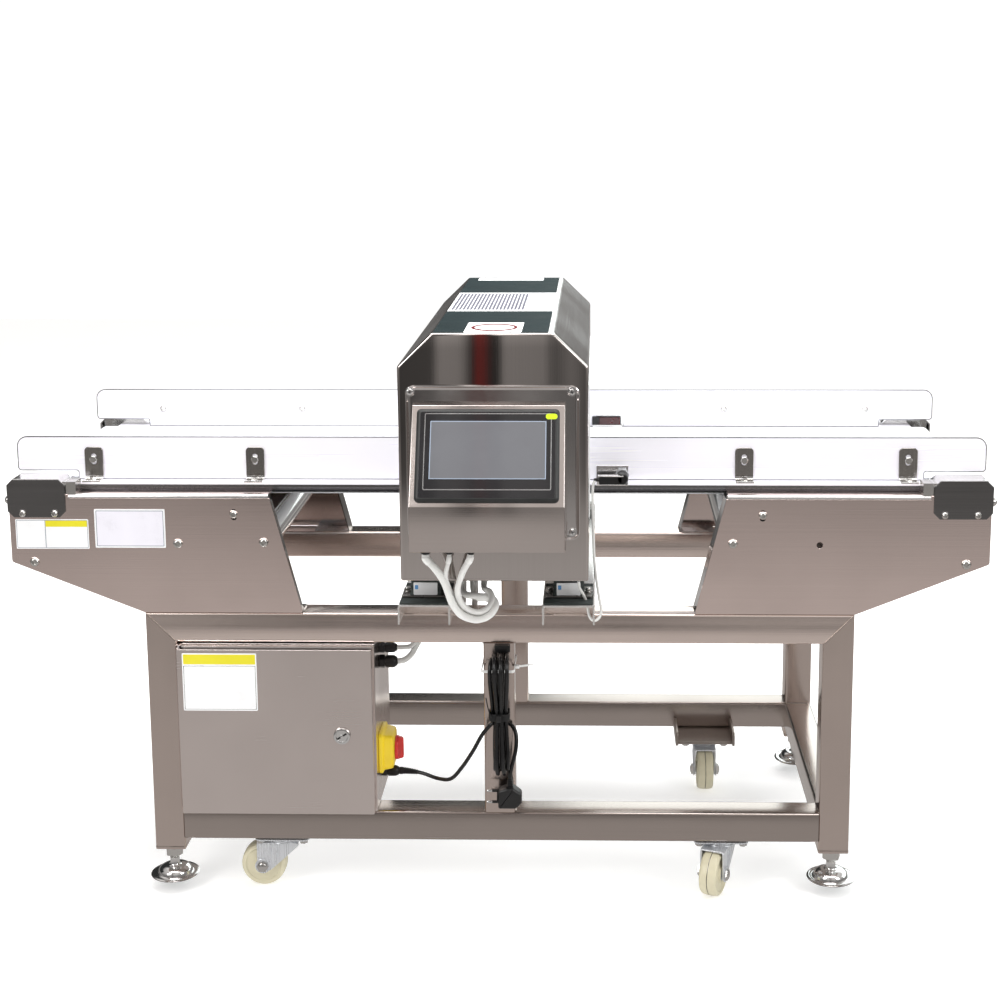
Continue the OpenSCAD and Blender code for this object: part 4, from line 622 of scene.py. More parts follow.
def make_mains_lead():
    """The lead as one smooth tube: a free stretch, the hank's loops and a free stretch to the plug."""
    hank = np.array([hank_point(i / 96) for i in range(int(LOOPS * 96) + 1)])
    start = hank[0] - [0, 0, LEAD_D]
    leave = np.array([0, 0.3, -1.0])
    end = hank[-1] + LEAD_D * leave / np.linalg.norm(leave)
    route = [
        LEAD_EXIT, [-165, 64, 187], [-136, 60, 185], [-106, 44, 182], [-82, 20, 192], [-62, 0, 220],
        [-42, -18, 256], [-26, -28, 288], [-14, -31, 304], [-8.5, -31, 310], [-8.5, -31, 316],
    ]
    to_plug = [
        [-5, -15, 315], [-5, -13, 309], [-2, -8, 303], [8, -5, 300], [20, -7, 296], [28, -16, 284],
        [28, -24, 262], [22, -26, 236], [18, -26, 217], PLUG_TOP,
    ]
    first = spline(anchored(route, LEAD_EXIT, start), 8)
    second = spline(anchored(to_plug, end, PLUG_TOP), 8)
    path = np.vstack([first, hank, second])
    keep = [0]
    for i in range(1, len(path)):
        if np.linalg.norm(path[i] - path[keep[-1]]) > 1.2:
            keep.append(i)
    path = path[keep]
    path[-1] = PLUG_TOP
    length = float(np.linalg.norm(np.diff(path, axis=0), axis=1).sum()) / 1000
    lead = Piece().add(tube(path, LEAD_D / 2, 14)).done(
        "mains_lead_tube", ["pvc"], slot="pvc_cord", replaces=("mains_lead", "cord_hank", "plug_lead"))
    return lead, path, length


def make_plug():
    """Moulded plug: waisted body with finger grooves, a ribbed neck and two round pins."""
    x, y, top = PLUG_TOP
    p = Piece()
    outline = rounded([
        (x - 19, top - 47), (x + 9.5, top - 47), (x + 19, top - 37.5), (x + 19, top - 21.5),
        (x + 5.5, top - 12), (x - 5.5, top - 12), (x - 19, top - 16.8)], [3, 6, 6, 7, 2, 2, 4], 5)
    p.add(slab(outline, y - 12, y + 12, "Y", 4.0, 4))
    for k in range(4):
        h = top - 20 - k * 5.5
        x0, x1 = (13.8, 16.6) if k == 0 else (15.0, 19.4)
        p.add(rbox([x + x0, y - 8, h - 1.0], [x + x1, y + 8, h + 1.0], 0.9))
    neck = [(5.5, 0)]
    for k in range(4):
        h = 1.2 + k * 2.8
        wide, narrow = 5.5 - k * 0.25, 4.3 - k * 0.2
        neck += [(wide, h), (narrow, h + 0.5), (narrow, h + 1.5), (wide - 0.2, h + 2.0)]
    neck += [(3.6, 12.0), (0, 12.0)]
    p.add(lathe(neck, 28), 0, (x, y, top - 12))
    p.add(lathe([(0, 0), (9, 0), (10, -1.2), (10, -2), (0, -2)], 30), 0, (x - 19, y, top - 29.5), RIGHT)
    for s in (-1, 1):
        at = (x - 19, y, top - 29.5 + s * 9.5)
        p.add(lathe([(0, 19), (1.4, 19), (2.2, 17.6), (2.4, 16.5), (2.4, 10)], 20), 1, at, LEFT)
        p.add(lathe([(2.4, 10.0), (2.3, 9.8), (2.3, 0), (3.4, 0), (3.4, -0.4)], 20), 0, at, LEFT)
    return p.done("plug", ["black", "chrome"], slot="black_plastic", replaces=("mains_plug",))


plug = make_plug()
lead, lead_path, lead_length = make_mains_lead()


# Corners of the stand, and finishes of the CAD nodes


# Each corner's name, its side, and the depths of its foot and of its caster's swivel
CORNERS = (("front_left", -1, 25.0, 36.0), ("front_right", 1, 25.0, 36.0),
           ("back_left", -1, 535.0, 470.0), ("back_right", 1, 535.0, 470.0))


def at_corners(prefix):
    """Names of the nodes that stand at each corner."""
    return tuple(prefix + corner[0] for corner in CORNERS)


NODE_FINISH = {"tube_x": ("frame_long_rails",), "tube_y": ("frame_end_rails",),
               "tube_z": ("frame_legs", "frame_posts"), "plate": ("mounting_plates",),
               "zinc": at_corners("fork_"), "nylon": at_corners("wheel_"),
               "chrome": at_corners("foot_") + ("tie_tubes",), "rubber": ("timing_belt", "isolators"),
               "bolt": ("fasteners", "bearing_blocks"), "wing": ("wing_plates",), "pan": ("wing_pans",),
               "bed": ("slider_bed",), "belt": ("conveyor_belt",), "guard": ("side_guards",),
               "bracket": ("guard_brackets",), "cap_face_shaded": ("end_caps",), "motor": ("gearmotor",),
               "roller": ("end_roller_left", "end_roller_right", "drive_drum", "return_roller_left",
                          "return_roller_right", "motor_pulley"), "head_side": ("head_shell",),
               "head": ("head_end_covers",), "liner": ("tunnel_liner",), "resin": ("search_coil",),
               "channel": ("support_channels",), "panel": ("panel_housing",),
               "gloss_black": ("display_bezel",), "label": ("display_glass",),
               "cabinet": ("cabinet", "cabinet_door"), "board": ("circuit_units",),
               "yellow": ("switch_base",), "red": ("switch_knob",), "reflector": ("reflector",),
               "white": ("fixed_cables",), "black": ("shaft_bearings", "door_lock", "cable_glands",
                                                     "photo_sensor", "cord_ties"),}
for key, names in NODE_FINISH.items():
    for name in names:
        NODES[name].data.materials.clear()
        NODES[name].data.materials.append(FINISH[key])


# Stand

# Half length and depth of the stand, its tube, and the tops of its upper and lower frame
HALF_L, DEPTH, TUBE, TOP, LOW = 573.5, 560.0, 50.0, 482.0, 142.0
LEG_X, CASTER_X, CHANNEL_X, LEG_FOOT = HALF_L - TUBE / 2, 365.0, 114.0, 79.0
# Depths of the rubber mounts under the head, and the flip that mirrors left and right
MOUNT_Y = (-3.0, 563.0)
MIRROR_X = (0, 0)


def section(a0, b0):
    """Rounded square of the tube, from its lowest corner."""
    return rounded(rectangle(a0, a0 + TUBE, b0, b0 + TUBE), 4.5, 4)


def square_tube(sec, start, end, axis):
    """Rounded square section carried along an axis between two cuts, each a function of the section."""
    s, e = [], []
    for a, b in sec:
        for out, cut in ((s, start), (e, end)):
            h = cut(a, b)
            out.append({"X": (h, a, b), "Y": (a, h, b), "Z": (a, b, h)}[axis])
    return rings([s, e])


def weld_bead(a, b, r=1.7, pitch=3.0):
    """Fillet bead from a to b, with the ripple that each melted drop leaves."""
    a, b = np.asarray(a, float), np.asarray(b, float)
    n = max(4, int(np.linalg.norm(b - a) / pitch * 4))
    t = np.linspace(0, 1, n)
    r_i = r * (0.86 + 0.18 * np.abs(np.sin(t * n / 4 * math.pi)))
    r_i[0] = r_i[-1] = r * 0.5
    return tube(a + (b - a) * t[:, None], r_i, 8)


def make_stand():
    """Mitred square tubes with rolled corners, welded at each joint."""
    x_tubes, y_tubes, z_tubes, beads = Piece(), Piece(), Piece(), Piece()
    for y0 in (0.0, DEPTH - TUBE):
        face = y0 if y0 == 0 else DEPTH
        inner = TUBE if y0 == 0 else DEPTH - TUBE
        # The upper long rails take the brightened copy of the tube steel, a painted highlight
        x_tubes.add(square_tube(section(y0, TOP - TUBE),
                                lambda y, z: -HALF_L + (TOP - z), lambda y, z: HALF_L - (TOP - z), "X"), 1)
        x_tubes.add(square_tube(section(y0, LOW - TUBE),
                                lambda y, z: TUBE - HALF_L, lambda y, z: HALF_L - TUBE, "X"))
        z_tubes.add(square_tube(section(-TUBE / 2, y0),
                                lambda x, y: LOW, lambda x, y: TOP - TUBE, "Z"))
        for s in (-1, 1):
            z_tubes.add(square_tube(section(HALF_L - TUBE, y0),
                                    lambda x, y: LEG_FOOT, lambda x, y: TOP - (HALF_L - x), "Z"),
                        flip=MIRROR_X if s < 0 else None)
            out = -0.2 if y0 == 0 else 0.2
            low = [s * (HALF_L - TUBE + 2), face + out, TOP - TUBE + 2]
            high = [s * (HALF_L - 3), face + out, TOP - 3]
            beads.add(weld_bead(low, high, 0.9, 2.2))
            leg, post = s * (HALF_L - TUBE + 0.3), s * (TUBE / 2 + 0.2)
            for x, z in ((leg, LOW - TUBE), (leg, LOW), (post, LOW + 0.4), (post, TOP - TUBE - 0.4)):
                beads.add(weld_bead([x, y0 + 5, z], [x, y0 + 45, z], 1.6))
            for z in (LOW - 0.3, TOP - TUBE - 0.3, TOP - 0.3):
                beads.add(weld_bead([s * (HALF_L - 45), inner, z], [s * (HALF_L - 5), inner, z], 1.5))
    for s in (-1, 1):
        for top in (TOP, LOW):
            y_tubes.add(square_tube(section(HALF_L - TUBE, top - TUBE),
                                    lambda x, z: TUBE, lambda x, z: DEPTH - TUBE, "Y"),
                        flip=MIRROR_X if s < 0 else None)
    x_tubes.done("long_tubes", ["tube_x", "tube_top_lit"], replaces=("frame_long_rails",))
    y_tubes.done("end_tubes", ["tube_y"], replaces=("frame_end_rails",))
    z_tubes.done("upright_tubes", ["tube_z"], replaces=("frame_legs", "frame_posts"))
    beads.done("weld_beads", ["plate"])


make_stand()


def thread(r, low, high):
    """Profile of a threaded rod as a stack of V rings."""
    pitch, depth = 2.0, 0.7
    prof, z = [(r - depth, low)], low
    while z + pitch < high:
        prof += [(r - depth, z + 0.1), (r, z + pitch * 0.35)]
        prof += [(r, z + pitch * 0.55), (r - depth, z + pitch * 0.9)]
        z += pitch
    return prof + [(r - depth, high - 0.8), (r - depth - 1.0, high), (0, high)]


def make_feet():
    """Levelling feet: rubber sole, spun foot with a brim and a raised crown, smooth neck and threaded stem.

    The crown is a quarter of an ellipse, a little squared.
    """
    for name, sx, fy, _ in CORNERS:
        p, at = Piece(), (sx * LEG_X, fy, 0)
        dome = [(0, 20.4), (38.4, 20.4), (39.5, 20.8), (40.0, 21.6), (39.8, 22.5), (39.0, 23.0),
                (34.0, 23.2), (30.5, 23.5), (28.8, 24.2)]
        for k in range(1, 13):
            t = math.pi / 2 * k / 12
            dome.append((12.0 + 16.4 * math.cos(t), 24.4 + 11.4 * math.sin(t) ** 0.9))
        dome += [(10.6, 36.2), (9.2, 37.0), (8.2, 38.6), (7.8, 40.6), (7.7, 49.0), (0, 49.0)]
        p.add(lathe(dome, 80), 0, at)
        p.add(lathe([(0, 20.0), (37.2, 20.0), (37.8, 20.3), (37.8, 20.6), (0, 20.6)], 60), 1, at)
        p.add(lathe([(0, 48.5), (7.6, 48.5)] + thread(8.0, 48.6, 113.0), 32), 2, at)
        p.done("levelling_foot_" + name, ["chrome", "rubber", "bolt"], "foot_%s_body" % name,
               "stainless_bright", ("foot_" + name,))


# How far each fork stands turned about its swivel, and its axle from there
FORK_TURN = {"front_left": 0, "front_right": 68, "back_left": 36, "back_right": 90}
AXLE = np.array([-34.0, 0.0, 37.5])


def make_casters():
    """Swivel casters: ball race, pressed fork with folded cheeks, axle bolt with cap nuts, nylon wheel."""
    for name, sx, _, cy in CORNERS:
        spin, at = turned("Z", FORK_TURN[name]), np.array([sx * CASTER_X, cy, 0])
        hub, lying = spin @ AXLE + at, spin @ turned("X", 90)
        p = Piece()
        race = [(0, 83.7), (25.2, 83.7), (26.6, 83.3), (27.0, 82.2), (26.4, 81.4), (25.4, 81.2), (25.4, 80.6),
                (26.6, 80.2), (27.0, 79.4), (26.4, 78.8), (0, 78.7)]
        p.add(lathe(race, 56), 0, at, spin)
        p.add(lathe([(25.2, 81.0), (25.9, 80.9), (25.9, 81.1), (25.2, 81.0)], 56), 1, at, spin)
        crown = rounded(rectangle(-43.4, 27, -20.5, 20.5), [3, 8, 8, 3], 5)
        p.add(slab(crown, 76.2, 78.8, "Z", 0.8, 3), 0, at, spin)
        for s in (-1, 1):
            y0, y1 = (17.5, 20.5) if s > 0 else (-20.5, -17.5)
            cheek = rounded([(-43.4, 77.5), (27, 77.5), (27, 73.5), (-19.5, 31.0), (-27.5, 27.0),
                             (-39.0, 27.0), (-43.4, 33.0)], [2, 5, 6, 9, 6, 6, 6], 6)
            p.add(slab(cheek, y0, y1, "Y", 0.7, 3), 0, at, spin)
            for x, middle, low, r in ((-20, 60, 40, 1.0), (-10, 64, 46, 0.8)):
                rib = [[x, s * 20.4, 76], [x, s * 20.9, middle], [x - 2, s * 20.4, low]]
                p.add(tube(rib, [r, r + 0.8, r], 10), 0, at, spin)
            end, outwards = spin @ (AXLE + [0, s * 20.5, 0]) + at, spin @ turned("X", -90 * s)
            washer = [(6.0, 0), (12.4, 0), (12.8, 0.3), (12.8, 1.0), (12.4, 1.3), (6.0, 1.3), (6.0, 0)]
            p.add(lathe(washer, 40), 0, end, outwards)
            p.add(hexnut(10.0, 4.2, 0, 0.12), 1, end + outwards @ [0, 0, 1.3], outwards)
            dome = [(0, 4.0), (7.6, 4.0), (7.4, 5.0), (6.4, 6.2), (4.4, 7.0), (0, 7.2)]
            p.add(lathe(dome, 32), 1, end, outwards)
        p.add(lathe(rectangle(0, 5.9, -20.4, 20.4), 28), 1, hub, lying)
        p.add(lathe(rectangle(0, 6.9, 83.5, 86.7), 28), 0, at)
        p.done("fork_piece_" + name, ["zinc", "bolt"], "fork_%s_body" % name, "zinc", ("fork_" + name,))

        w = Piece()
        # Two moulded halves with a crowned tread and a narrow seam between them
        prof = [(6.05, -16.0), (13.5, -16.0), (15.0, -15.2), (15.6, -13.6), (18.0, -12.7), (24.0, -12.4),
                (28.2, -12.9)]
        for k in range(4):
            t = math.radians(-60 + 15 * k)
            prof.append((29.4 + 3.2 * (math.sin(t) + 0.866), -13.6 - 1.4 * math.cos(t)))
        for k in range(5):
            t = math.radians(22.5 * k)
            prof.append((32.4 + 4.7 * math.sin(t), -14.9 + 7.2 * (1 - math.cos(t))))
        prof += [(37.45, -3.0), (37.5, -0.9), (36.9, -0.55), (36.9, 0.0)]
        prof += [(r, -h) for r, h in reversed(prof[:-1])] + [prof[0]]
        w.add(lathe(prof, 88), 0, hub, lying)
        w.add(lathe([(36.8, -0.5), (37.0, -0.5), (37.0, 0.5), (36.8, 0.5), (36.8, -0.5)], 72), 2, hub, lying)
        for s in (-1, 1):
            cup = lathe([(6.05, 15.9), (11.0, 15.9), (11.0, 16.0), (9.4, 16.1), (6.05, 16.1), (6.05, 15.9)],
                        32)
            w.add(cup, 1, hub, spin @ turned("X", 90 * s))
        w.done("wheel_piece_" + name, ["nylon", "zinc", "dark_nut"], "wheel_%s_body" % name, "nylon_cream",
               ("wheel_" + name,))


make_feet()
make_casters()


def make_mounting_plates():
    """Leg end plates, caster brackets with turned-up ends, and caster top plates, each with softened rims."""
    p = Piece()
    for _, sx, fy, cy in CORNERS:
        front = fy < DEPTH / 2
        leg = rounded(rectangle(LEG_X - 25, LEG_X + 25, fy - 25, fy + 25), 3, 3)
        p.add(slab(leg, 73.0, 79.2, "Z", 1.0, 2), 2, flip=MIRROR_X if sx < 0 else None)
        x = sx * CASTER_X
        low, high = (14.0, 81.0) if front else (434.0, 546.0)
        plate = rounded(rectangle(x - 56, x + 56, low, high), 5, 4)
        p.add(slab(plate, 87.0, 92.0, "Z", 0.9, 2))
        lip = (50.3, 81.0) if front else (425.0, 509.7)
        for s in (-1, 1):
            prof = rounded(rectangle(*lip, 87.5, 113.0), [1, 1, 7, 7], 5)
            low, high = (51, 56) if s > 0 else (-56, -51)
            p.add(slab(prof, x + low, x + high, "X", 0.9, 2))
        top = rounded(rectangle(x - 45, x + 45, cy - 27, cy + 36), 9, 5)
        p.add(slab(top, 84.0, 87.0, "Z", 0.7, 2), 1)
        ball_race = [(7.1, 83.75), (21.0, 83.75), (23.5, 84.1), (7.1, 84.1), (7.1, 83.75)]
        p.add(lathe(ball_race, 48), 1, (x, cy, 0))
    p.done("caster_plates", ["plate", "zinc", "tube_z"], replaces=("mounting_plates",))


make_mounting_plates()


# Detector head

# Head: depths of its covers, heights of its underside, top and shoulders, and its outline in X and Z
HEAD_FRONT, HEAD_BACK, BASE, CREST, SHOULDER = -89.0, 699.0, 562.0, 951.2, 900.0
HEAD_OUTLINE = [(-146, BASE), (146, BASE), (146, SHOULDER), (93, CREST), (-93, CREST), (-146, SHOULDER)]
# Tunnel's walls in Y and Z
TUNNEL = (20.0, 540.0, 652.0, 842.0)


def frame_between(outer, hole, low, high, axis, edge=0.6):
    """Plate with one opening: outer and hole are outlines of equal length that run the same way."""
    o, h = anticlockwise(outer), anticlockwise(hole)
    h = np.roll(h, -int(np.argmin(np.linalg.norm(h - o[0], axis=1))), 0)
    loops = [(o, low + edge), (inset(o, edge), low), (inset(h, -edge * 0.5), low), (h, low + edge * 0.5),
             (h, high - edge * 0.5), (inset(h, -edge * 0.5), high), (inset(o, edge), high), (o, high - edge)]
    out = [lifted(q, at, axis) for q, at in loops]
    out.append(out[0])
    return rings(out, False, False)


def resample(points, n):
    """Closed outline cut into n equal steps, with its corners kept."""
    p = np.asarray(points, float)
    q = np.vstack([p, p[:1]])
    d = lengths(q)
    at = np.linspace(0, d[-1], n, endpoint=False)
    for corner in d[:-1]:
        at[int(np.argmin(np.abs(at - corner)))] = corner
    return read_at(q, at)


def strip(outer, inner, y0, y1):
    """Bent sheet between two open lines in X and Z, carried along Y."""
    line = np.vstack([outer, inner[::-1]])
    return rings([lifted(line, y) for y in (y0, y1)])


def make_head():
    """Bent sheet shell with rolled shoulders, and two folded end covers whose rims roll round the edge.

    Each corner of the outline is seven points, so points 14 to 41 are the shoulders and the crest.
    """
    line = rounded(HEAD_OUTLINE, [4, 4, 9, 9, 9, 9], 6)
    inner = inset(line, 3.0)
    flange = 21.5
    y0, y1 = HEAD_FRONT + flange + 0.4, HEAD_BACK - flange - 0.4
    shell = Piece()
    shell.add(strip(line[14:42], inner[14:42], y0, y1))
    shell.add(strip(line[0:14], inner[0:14], y0, y1), 1)
    ty0, ty1, tz0, tz1 = TUNNEL[0] - 5, TUNNEL[1] + 5, TUNNEL[2] - 5, TUNNEL[3] + 5
    wall = [(y0, BASE + 4), (y1, BASE + 4), (y1, line[14][1]), (y0, line[14][1])]
    hole = rectangle(ty0, ty1, tz0, tz1)
    for x0, x1 in ((143.0, 146.0), (-146.0, -143.0)):
        shell.add(frame_between(wall, hole, x0, x1, "X", 0.02), 1)
    shell.done("head_wrap", ["head_top", "head_side"], slot="head_sheet", replaces=("head_shell",))
    r, steps = 4.0, 5
    for name, y, s in (("front", HEAD_FRONT, 1), ("back", HEAD_BACK, -1)):
        loops = [lifted(inner, y + s * 3.0), lifted(inner, y + s * flange), lifted(line, y + s * flange)]
        for i in range(steps + 1):
            t = math.pi / 2 * i / steps
            loops.append(lifted(inset(line, r * (1 - math.cos(t))), y + s * r * (1 - math.sin(t))))
        loops.append(lifted(inset(line, r + 0.2), y))
        cover = Piece().add(rings(loops))
        cover.done("head_cover_" + name, ["head"], slot="head_sheet",
                   replaces=("head_end_covers",) if name == "front" else ())


def make_head_labels():
    """Blank films on the crest: dark green strips, a ribbed pale panel, a white edge, a ring and two tags."""
    p = Piece()

    def film(x0, x1, y0, y1, mat, up=0.35, r=1.0):
        """Film on the crest, up high."""
        outline = rounded(rectangle(x0, x1, y0, y1), r, 3)
        p.add(slab(outline, CREST - 0.2, CREST + up, "Z", 0.12, 1), mat)

    film(-91, 85, -85.5, 171, 0)
    film(-91, 85, 437, 690, 0)
    film(-91, 92, 172, 436, 1)
    film(86, 92, -85.5, 171, 1)
    film(86, 92, 437, 690, 1)
    for k in range(20):
        film(-86 + 6.2 * k, -82.2 + 6.2 * k, 190, 418, 3, 0.55, 0.8)
    film(-72, 55, 640, 686, 1, 0.55, 2.0)
    film(-44, 44, -84, 28, 4, 0.55, 2.0)
    ring = circle(0, 0, 1.0, 40)
    outside, inside = ring * [36, 42] + [0, -28], ring * [31, 30] + [0, -28]
    p.add(frame_between(outside, inside, CREST + 0.4, CREST + 0.72, "Z", 0.05), 2)
    p.done("crest_films", ["green_film", "label", "ring_red", "crest_rib", "crest_tag"], slot="white_plastic")


def make_tunnel():
    """Moulded tunnel: mouth flanges with rounded rims, a smooth throat, and screws along the flanges."""
    p = Piece()
    y0, y1, z0, z1 = TUNNEL

    def mouth(out, r):
        """The throat's outline, moved out."""
        return resample(rounded(rectangle(y0 - out, y1 + out, z0 - out, z1 + out), r, 6), 96)

    # Place, reach past the throat and corner radius, from behind a flange round its rim into the throat
    flange = [(146, 5, 8), (146, 14, 10), (147.4, 14, 10), (148, 13.4, 10), (148, 1.6, 7), (147.5, 0.5, 6),
              (146, 0.02, 6)]
    around = [(-x, out, r) for x, out, r in flange] + flange[::-1] + [(-146, 5, 8)]
    p.add(rings([lifted(mouth(out, r), x, "X") for x, out, r in around], False, False))
    for s in (-1, 1):
        for y in np.linspace(y0 + 20, y1 - 20, 6):
            for z in (z0 - 9.5, z1 + 9.5):
                screw = lathe([(0, 1.3), (1.2, 1.3), (2.6, 0.9), (3.2, 0), (0, 0)], 16)
                p.add(screw, 1, (s * 146.9, y, z), turned("Y", 90 * s))
    p.done("tunnel_lining", ["liner", "bolt"], slot="white_plastic", replaces=("tunnel_liner",))


# Operator panel

# The panel's slope starts at SLOPE_AT and leans back by TILT; the display's middle is SCREEN_MID up the slope
SLOPE_AT = np.array([-5.0, -187.0, 705.0])
TILT = math.atan2(77.0, 139.0)
SLOPE = np.array([[1, 0, 0], [0, math.cos(TILT), math.sin(TILT)], [0, -math.sin(TILT), math.cos(TILT)]])
SCREEN_MID = 79.45


def cross_screw(p, at, turn, mat, r=5.0, h=2.4):
    """Pan head with a cross recess sunk in its dome."""
    dome = [(r, 0), (r, h * 0.3), (r * 0.86, h * 0.72), (r * 0.55, h * 0.97), (r * 0.30, h * 0.98),
            (0, h * 0.98)]
    p.add(lathe(dome, 28), mat, at, turn)
    for angle in (20, 110):
        groove = rbox([-r * 0.55, -r * 0.09, h * 0.80], [r * 0.55, r * 0.09, h * 1.04], r * 0.05)
        p.add(groove, mat + 1, at, turn @ turned("Z", angle))


def make_panel():
    """Console: rim plate with a rolled bead and round corners, folded body, and four cross-head screws."""
    rim = anticlockwise(rounded(rectangle(-133.5, 133.5, 629, 872), 15, 9))
    p = Piece()
    bead = [(0, -89.0), (0, -91.0), (0.5, -92.4), (1.6, -93.2), (2.8, -92.9), (3.8, -92.1), (4.8, -91.7),
            (8.0, -91.6), (8.3, -91.6)]
    p.add(rings([lifted(inset(rim, d), y) for d, y in bead]), 3)
    side = rounded([(-91, 635), (-187, 635), (-187, 705), (-110, 844), (-91, 846)],
                   [0.5, 1.6, 1.6, 1.6, 0.5], 4)
    p.add(slab(side, -121.0, 111.0, "X", 1.3, 3))
    for x in (-121.3, 111.3):
        p.add(weld_bead([x, -180, 635.4], [x, -94, 635.4], 0.8, 2.4))
    for x, z in ((-126, 861.5), (121, 861.5), (121, 642), (-126, 642)):
        washer = [(3.0, 0), (6.6, 0), (7.0, 0.3), (7.0, 0.9), (6.7, 1.2), (3.0, 1.2)]
        p.add(lathe(washer, 28), 1, (x, -91.6, z), FRONT)
        cross_screw(p, (x, -92.8, z), FRONT, 1, 5.4, 2.8)
    p.done("console", ["panel", "chrome", "black", "rim"], slot="stainless_bright",
           replaces=("panel_housing",))


def make_display():
    """Touch display: stepped skirt, glossy bezel with a thin silver line, a screen and a blank status tag."""
    p = Piece()

    def outline(x0, x1, z0, z1, r):
        """Rounded rectangle on the slope."""
        return rounded(rectangle(x0, x1, z0, z1), r, 6)

    def plate(x0, x1, z0, z1, front, back, r, edge, mat):
        """Plate on the slope, from its front to its back."""
        p.add(slab(outline(x0, x1, z0, z1, r), front, back, "Y", edge, 3), mat, SLOPE_AT, SLOPE)

    low, high = SCREEN_MID - 73, SCREEN_MID + 73
    plate(-108, 108, low, high, -3.0, 0.0, 7, 0.6, 5)
    skirt = anticlockwise(outline(-107.4, 107.4, low + 0.6, high - 0.6, 7))
    steps = [(0, -2.6), (0.4, -3.4), (2.6, -5.2), (3.6, -5.7), (4.4, -5.9)]
    p.add(rings([lifted(inset(skirt, d), y) for d, y in steps]), 5, SLOPE_AT, SLOPE)
    plate(-102, 102, low + 6, high - 5.5, -5.98, -4.0, 3, 0.3, 0)
    plate(-99, 99, low + 5, high - 5, 0.0, 22.0, 2, 0.8, 3)
    line = outline(-95.4, 96.0, 24.4, 144.4, 2.5)
    p.add(frame_between(line, inset(line, 1.3), -6.06, -5.8, "Y", 0.1), 1, SLOPE_AT, SLOPE)
    plate(-86.5, 88, 41.4, 132.2, -6.05, -5.8, 0.8, 0.05, 6)
    plate(-85.2, 86.7, 42.7, 130.9, -6.12, -5.8, 0.6, 0.05, 2)
    plate(87.0, 104.6, 135.0, 143.8, -6.2, -5.8, 4.2, 0.1, 4)
    p.done("display", ["gloss_black", "silver_line", "screen", "black", "status_film", "bezel_skirt",
                       "screen_edge"], slot="black_gloss", replaces=("display_bezel", "display_glass"))


make_head()
make_head_labels()
make_tunnel()
make_panel()
make_display()


# Sheet parts and fasteners


def holed(outer, holes, low, high, axis, edge=0.4):
    """Plate with any number of openings; every rim is broken by edge."""
    o = anticlockwise(outer)
    lines = [(o, 1)] + [(anticlockwise(h), -1) for h in holes]
    verts, faces, base, bottom, top = [], [], 0, [], []
    for q, side in lines:
        n = len(q)
        edge_q = inset(q, edge * side)
        for line, at in ((edge_q, low), (q, low + edge), (q, high - edge), (edge_q, high)):
            verts.append(lifted(line, at, axis))
        for i in range(3):
            for k in range(n):
                a, b = base + i * n, base + (i + 1) * n
                faces.append((a + k, a + (k + 1) % n, b + (k + 1) % n, b + k))
        bottom.append((edge_q, base))
        top.append((edge_q, base + 3 * n))
        base += 4 * n
    for group in (bottom, top):
        index = [first + k for q, first in group for k in range(len(q))]
        tris = tessellate_polygon([[Vector((p[0], p[1], 0)) for p in q] for q, _ in group])
        faces += [tuple(index[i] for i in t) for t in tris]
    return np.vstack(verts), faces


def slot_of(x, z, w, h):
    """Outline of a slotted hole."""
    return rounded(rectangle(x - w / 2, x + w / 2, z - h / 2, z + h / 2), min(w, h) / 2 * 0.995, 7)


def socket_bolt(p, at, turn, r, h=5.0):
    """Button head with a hexagon socket; local Z points outwards."""
    n = 36
    a = np.arange(n) * 2 * np.pi / n
    hexagon = math.cos(math.pi / 6) / np.cos((a % (math.pi / 3)) - math.pi / 6)
    dome = ((0.96, 0), (1.0, 0.10), (0.97, 0.30), (0.86, 0.62), (0.68, 0.88), (0.55, 1.0))
    socket = ((0.46, 1.0), (0.44, 0.92), (0.42, 0.42))
    loops = [lifted(circle(0, 0, r * q, n), h * z, "Z") for q, z in dome]
    loops += [lifted(circle(0, 0, r * q * hexagon, n), h * z, "Z") for q, z in socket]
    p.add(rings(loops), 0, at, turn)


def nut_with_washer(p, at, turn, r=7.5, h=5.0, mat=0, washer=9.5, spin=0):
    """Hexagon nut with a bolt's end in it, over a washer when one is given."""
    at = np.asarray(at, float)
    out = np.asarray(turn, float) @ np.array([0, 0, 1.0])
    if washer:
        ring = [(4.0, 0), (washer - 0.2, 0), (washer, 0.25), (washer, 0.9), (washer - 0.2, 1.1), (4.0, 1.1)]
        p.add(lathe(ring, 32), mat, at, turn)
        at = at + out * 1.1
    p.add(hexnut(r, h - (1.1 if washer else 0), 0, 0.16), mat, at, turn @ turned("Z", spin))
    p.add(lathe([(3.6, h - 1.4), (3.9, h - 1.2), (3.5, h - 0.2), (0, h - 0.2)], 20), mat, at, turn)


# Wing: where it starts and ends along the stand, the height of its lower outer corner, and its top
WING_FOOT, WING_END, WING_KNEE, WING_TOP = 316, 785, 566, 678
# Places of the wing's slotted hole and of its open hole, and of the guards' brackets
SLOT_AT, HOLE_AT = (423, 645), (514.5, 597)
BRACKET_X, BRACKET_Z = (661.0, 397.0), 724
# Top of the slider bed, half lengths of the guards over the bed and in all, and their height
DECK, GUARD_FOOT, GUARD_END, GUARD_TOP = 690, 688, 787, 761


def mirrored(shape):
    """Shape of the front plate, carried over to the rear one."""
    v, f = shape
    v = np.asarray(v, float) * [1, -1, 1] + [0, DEPTH, 0]
    return v, [tuple(reversed(t)) for t in f]


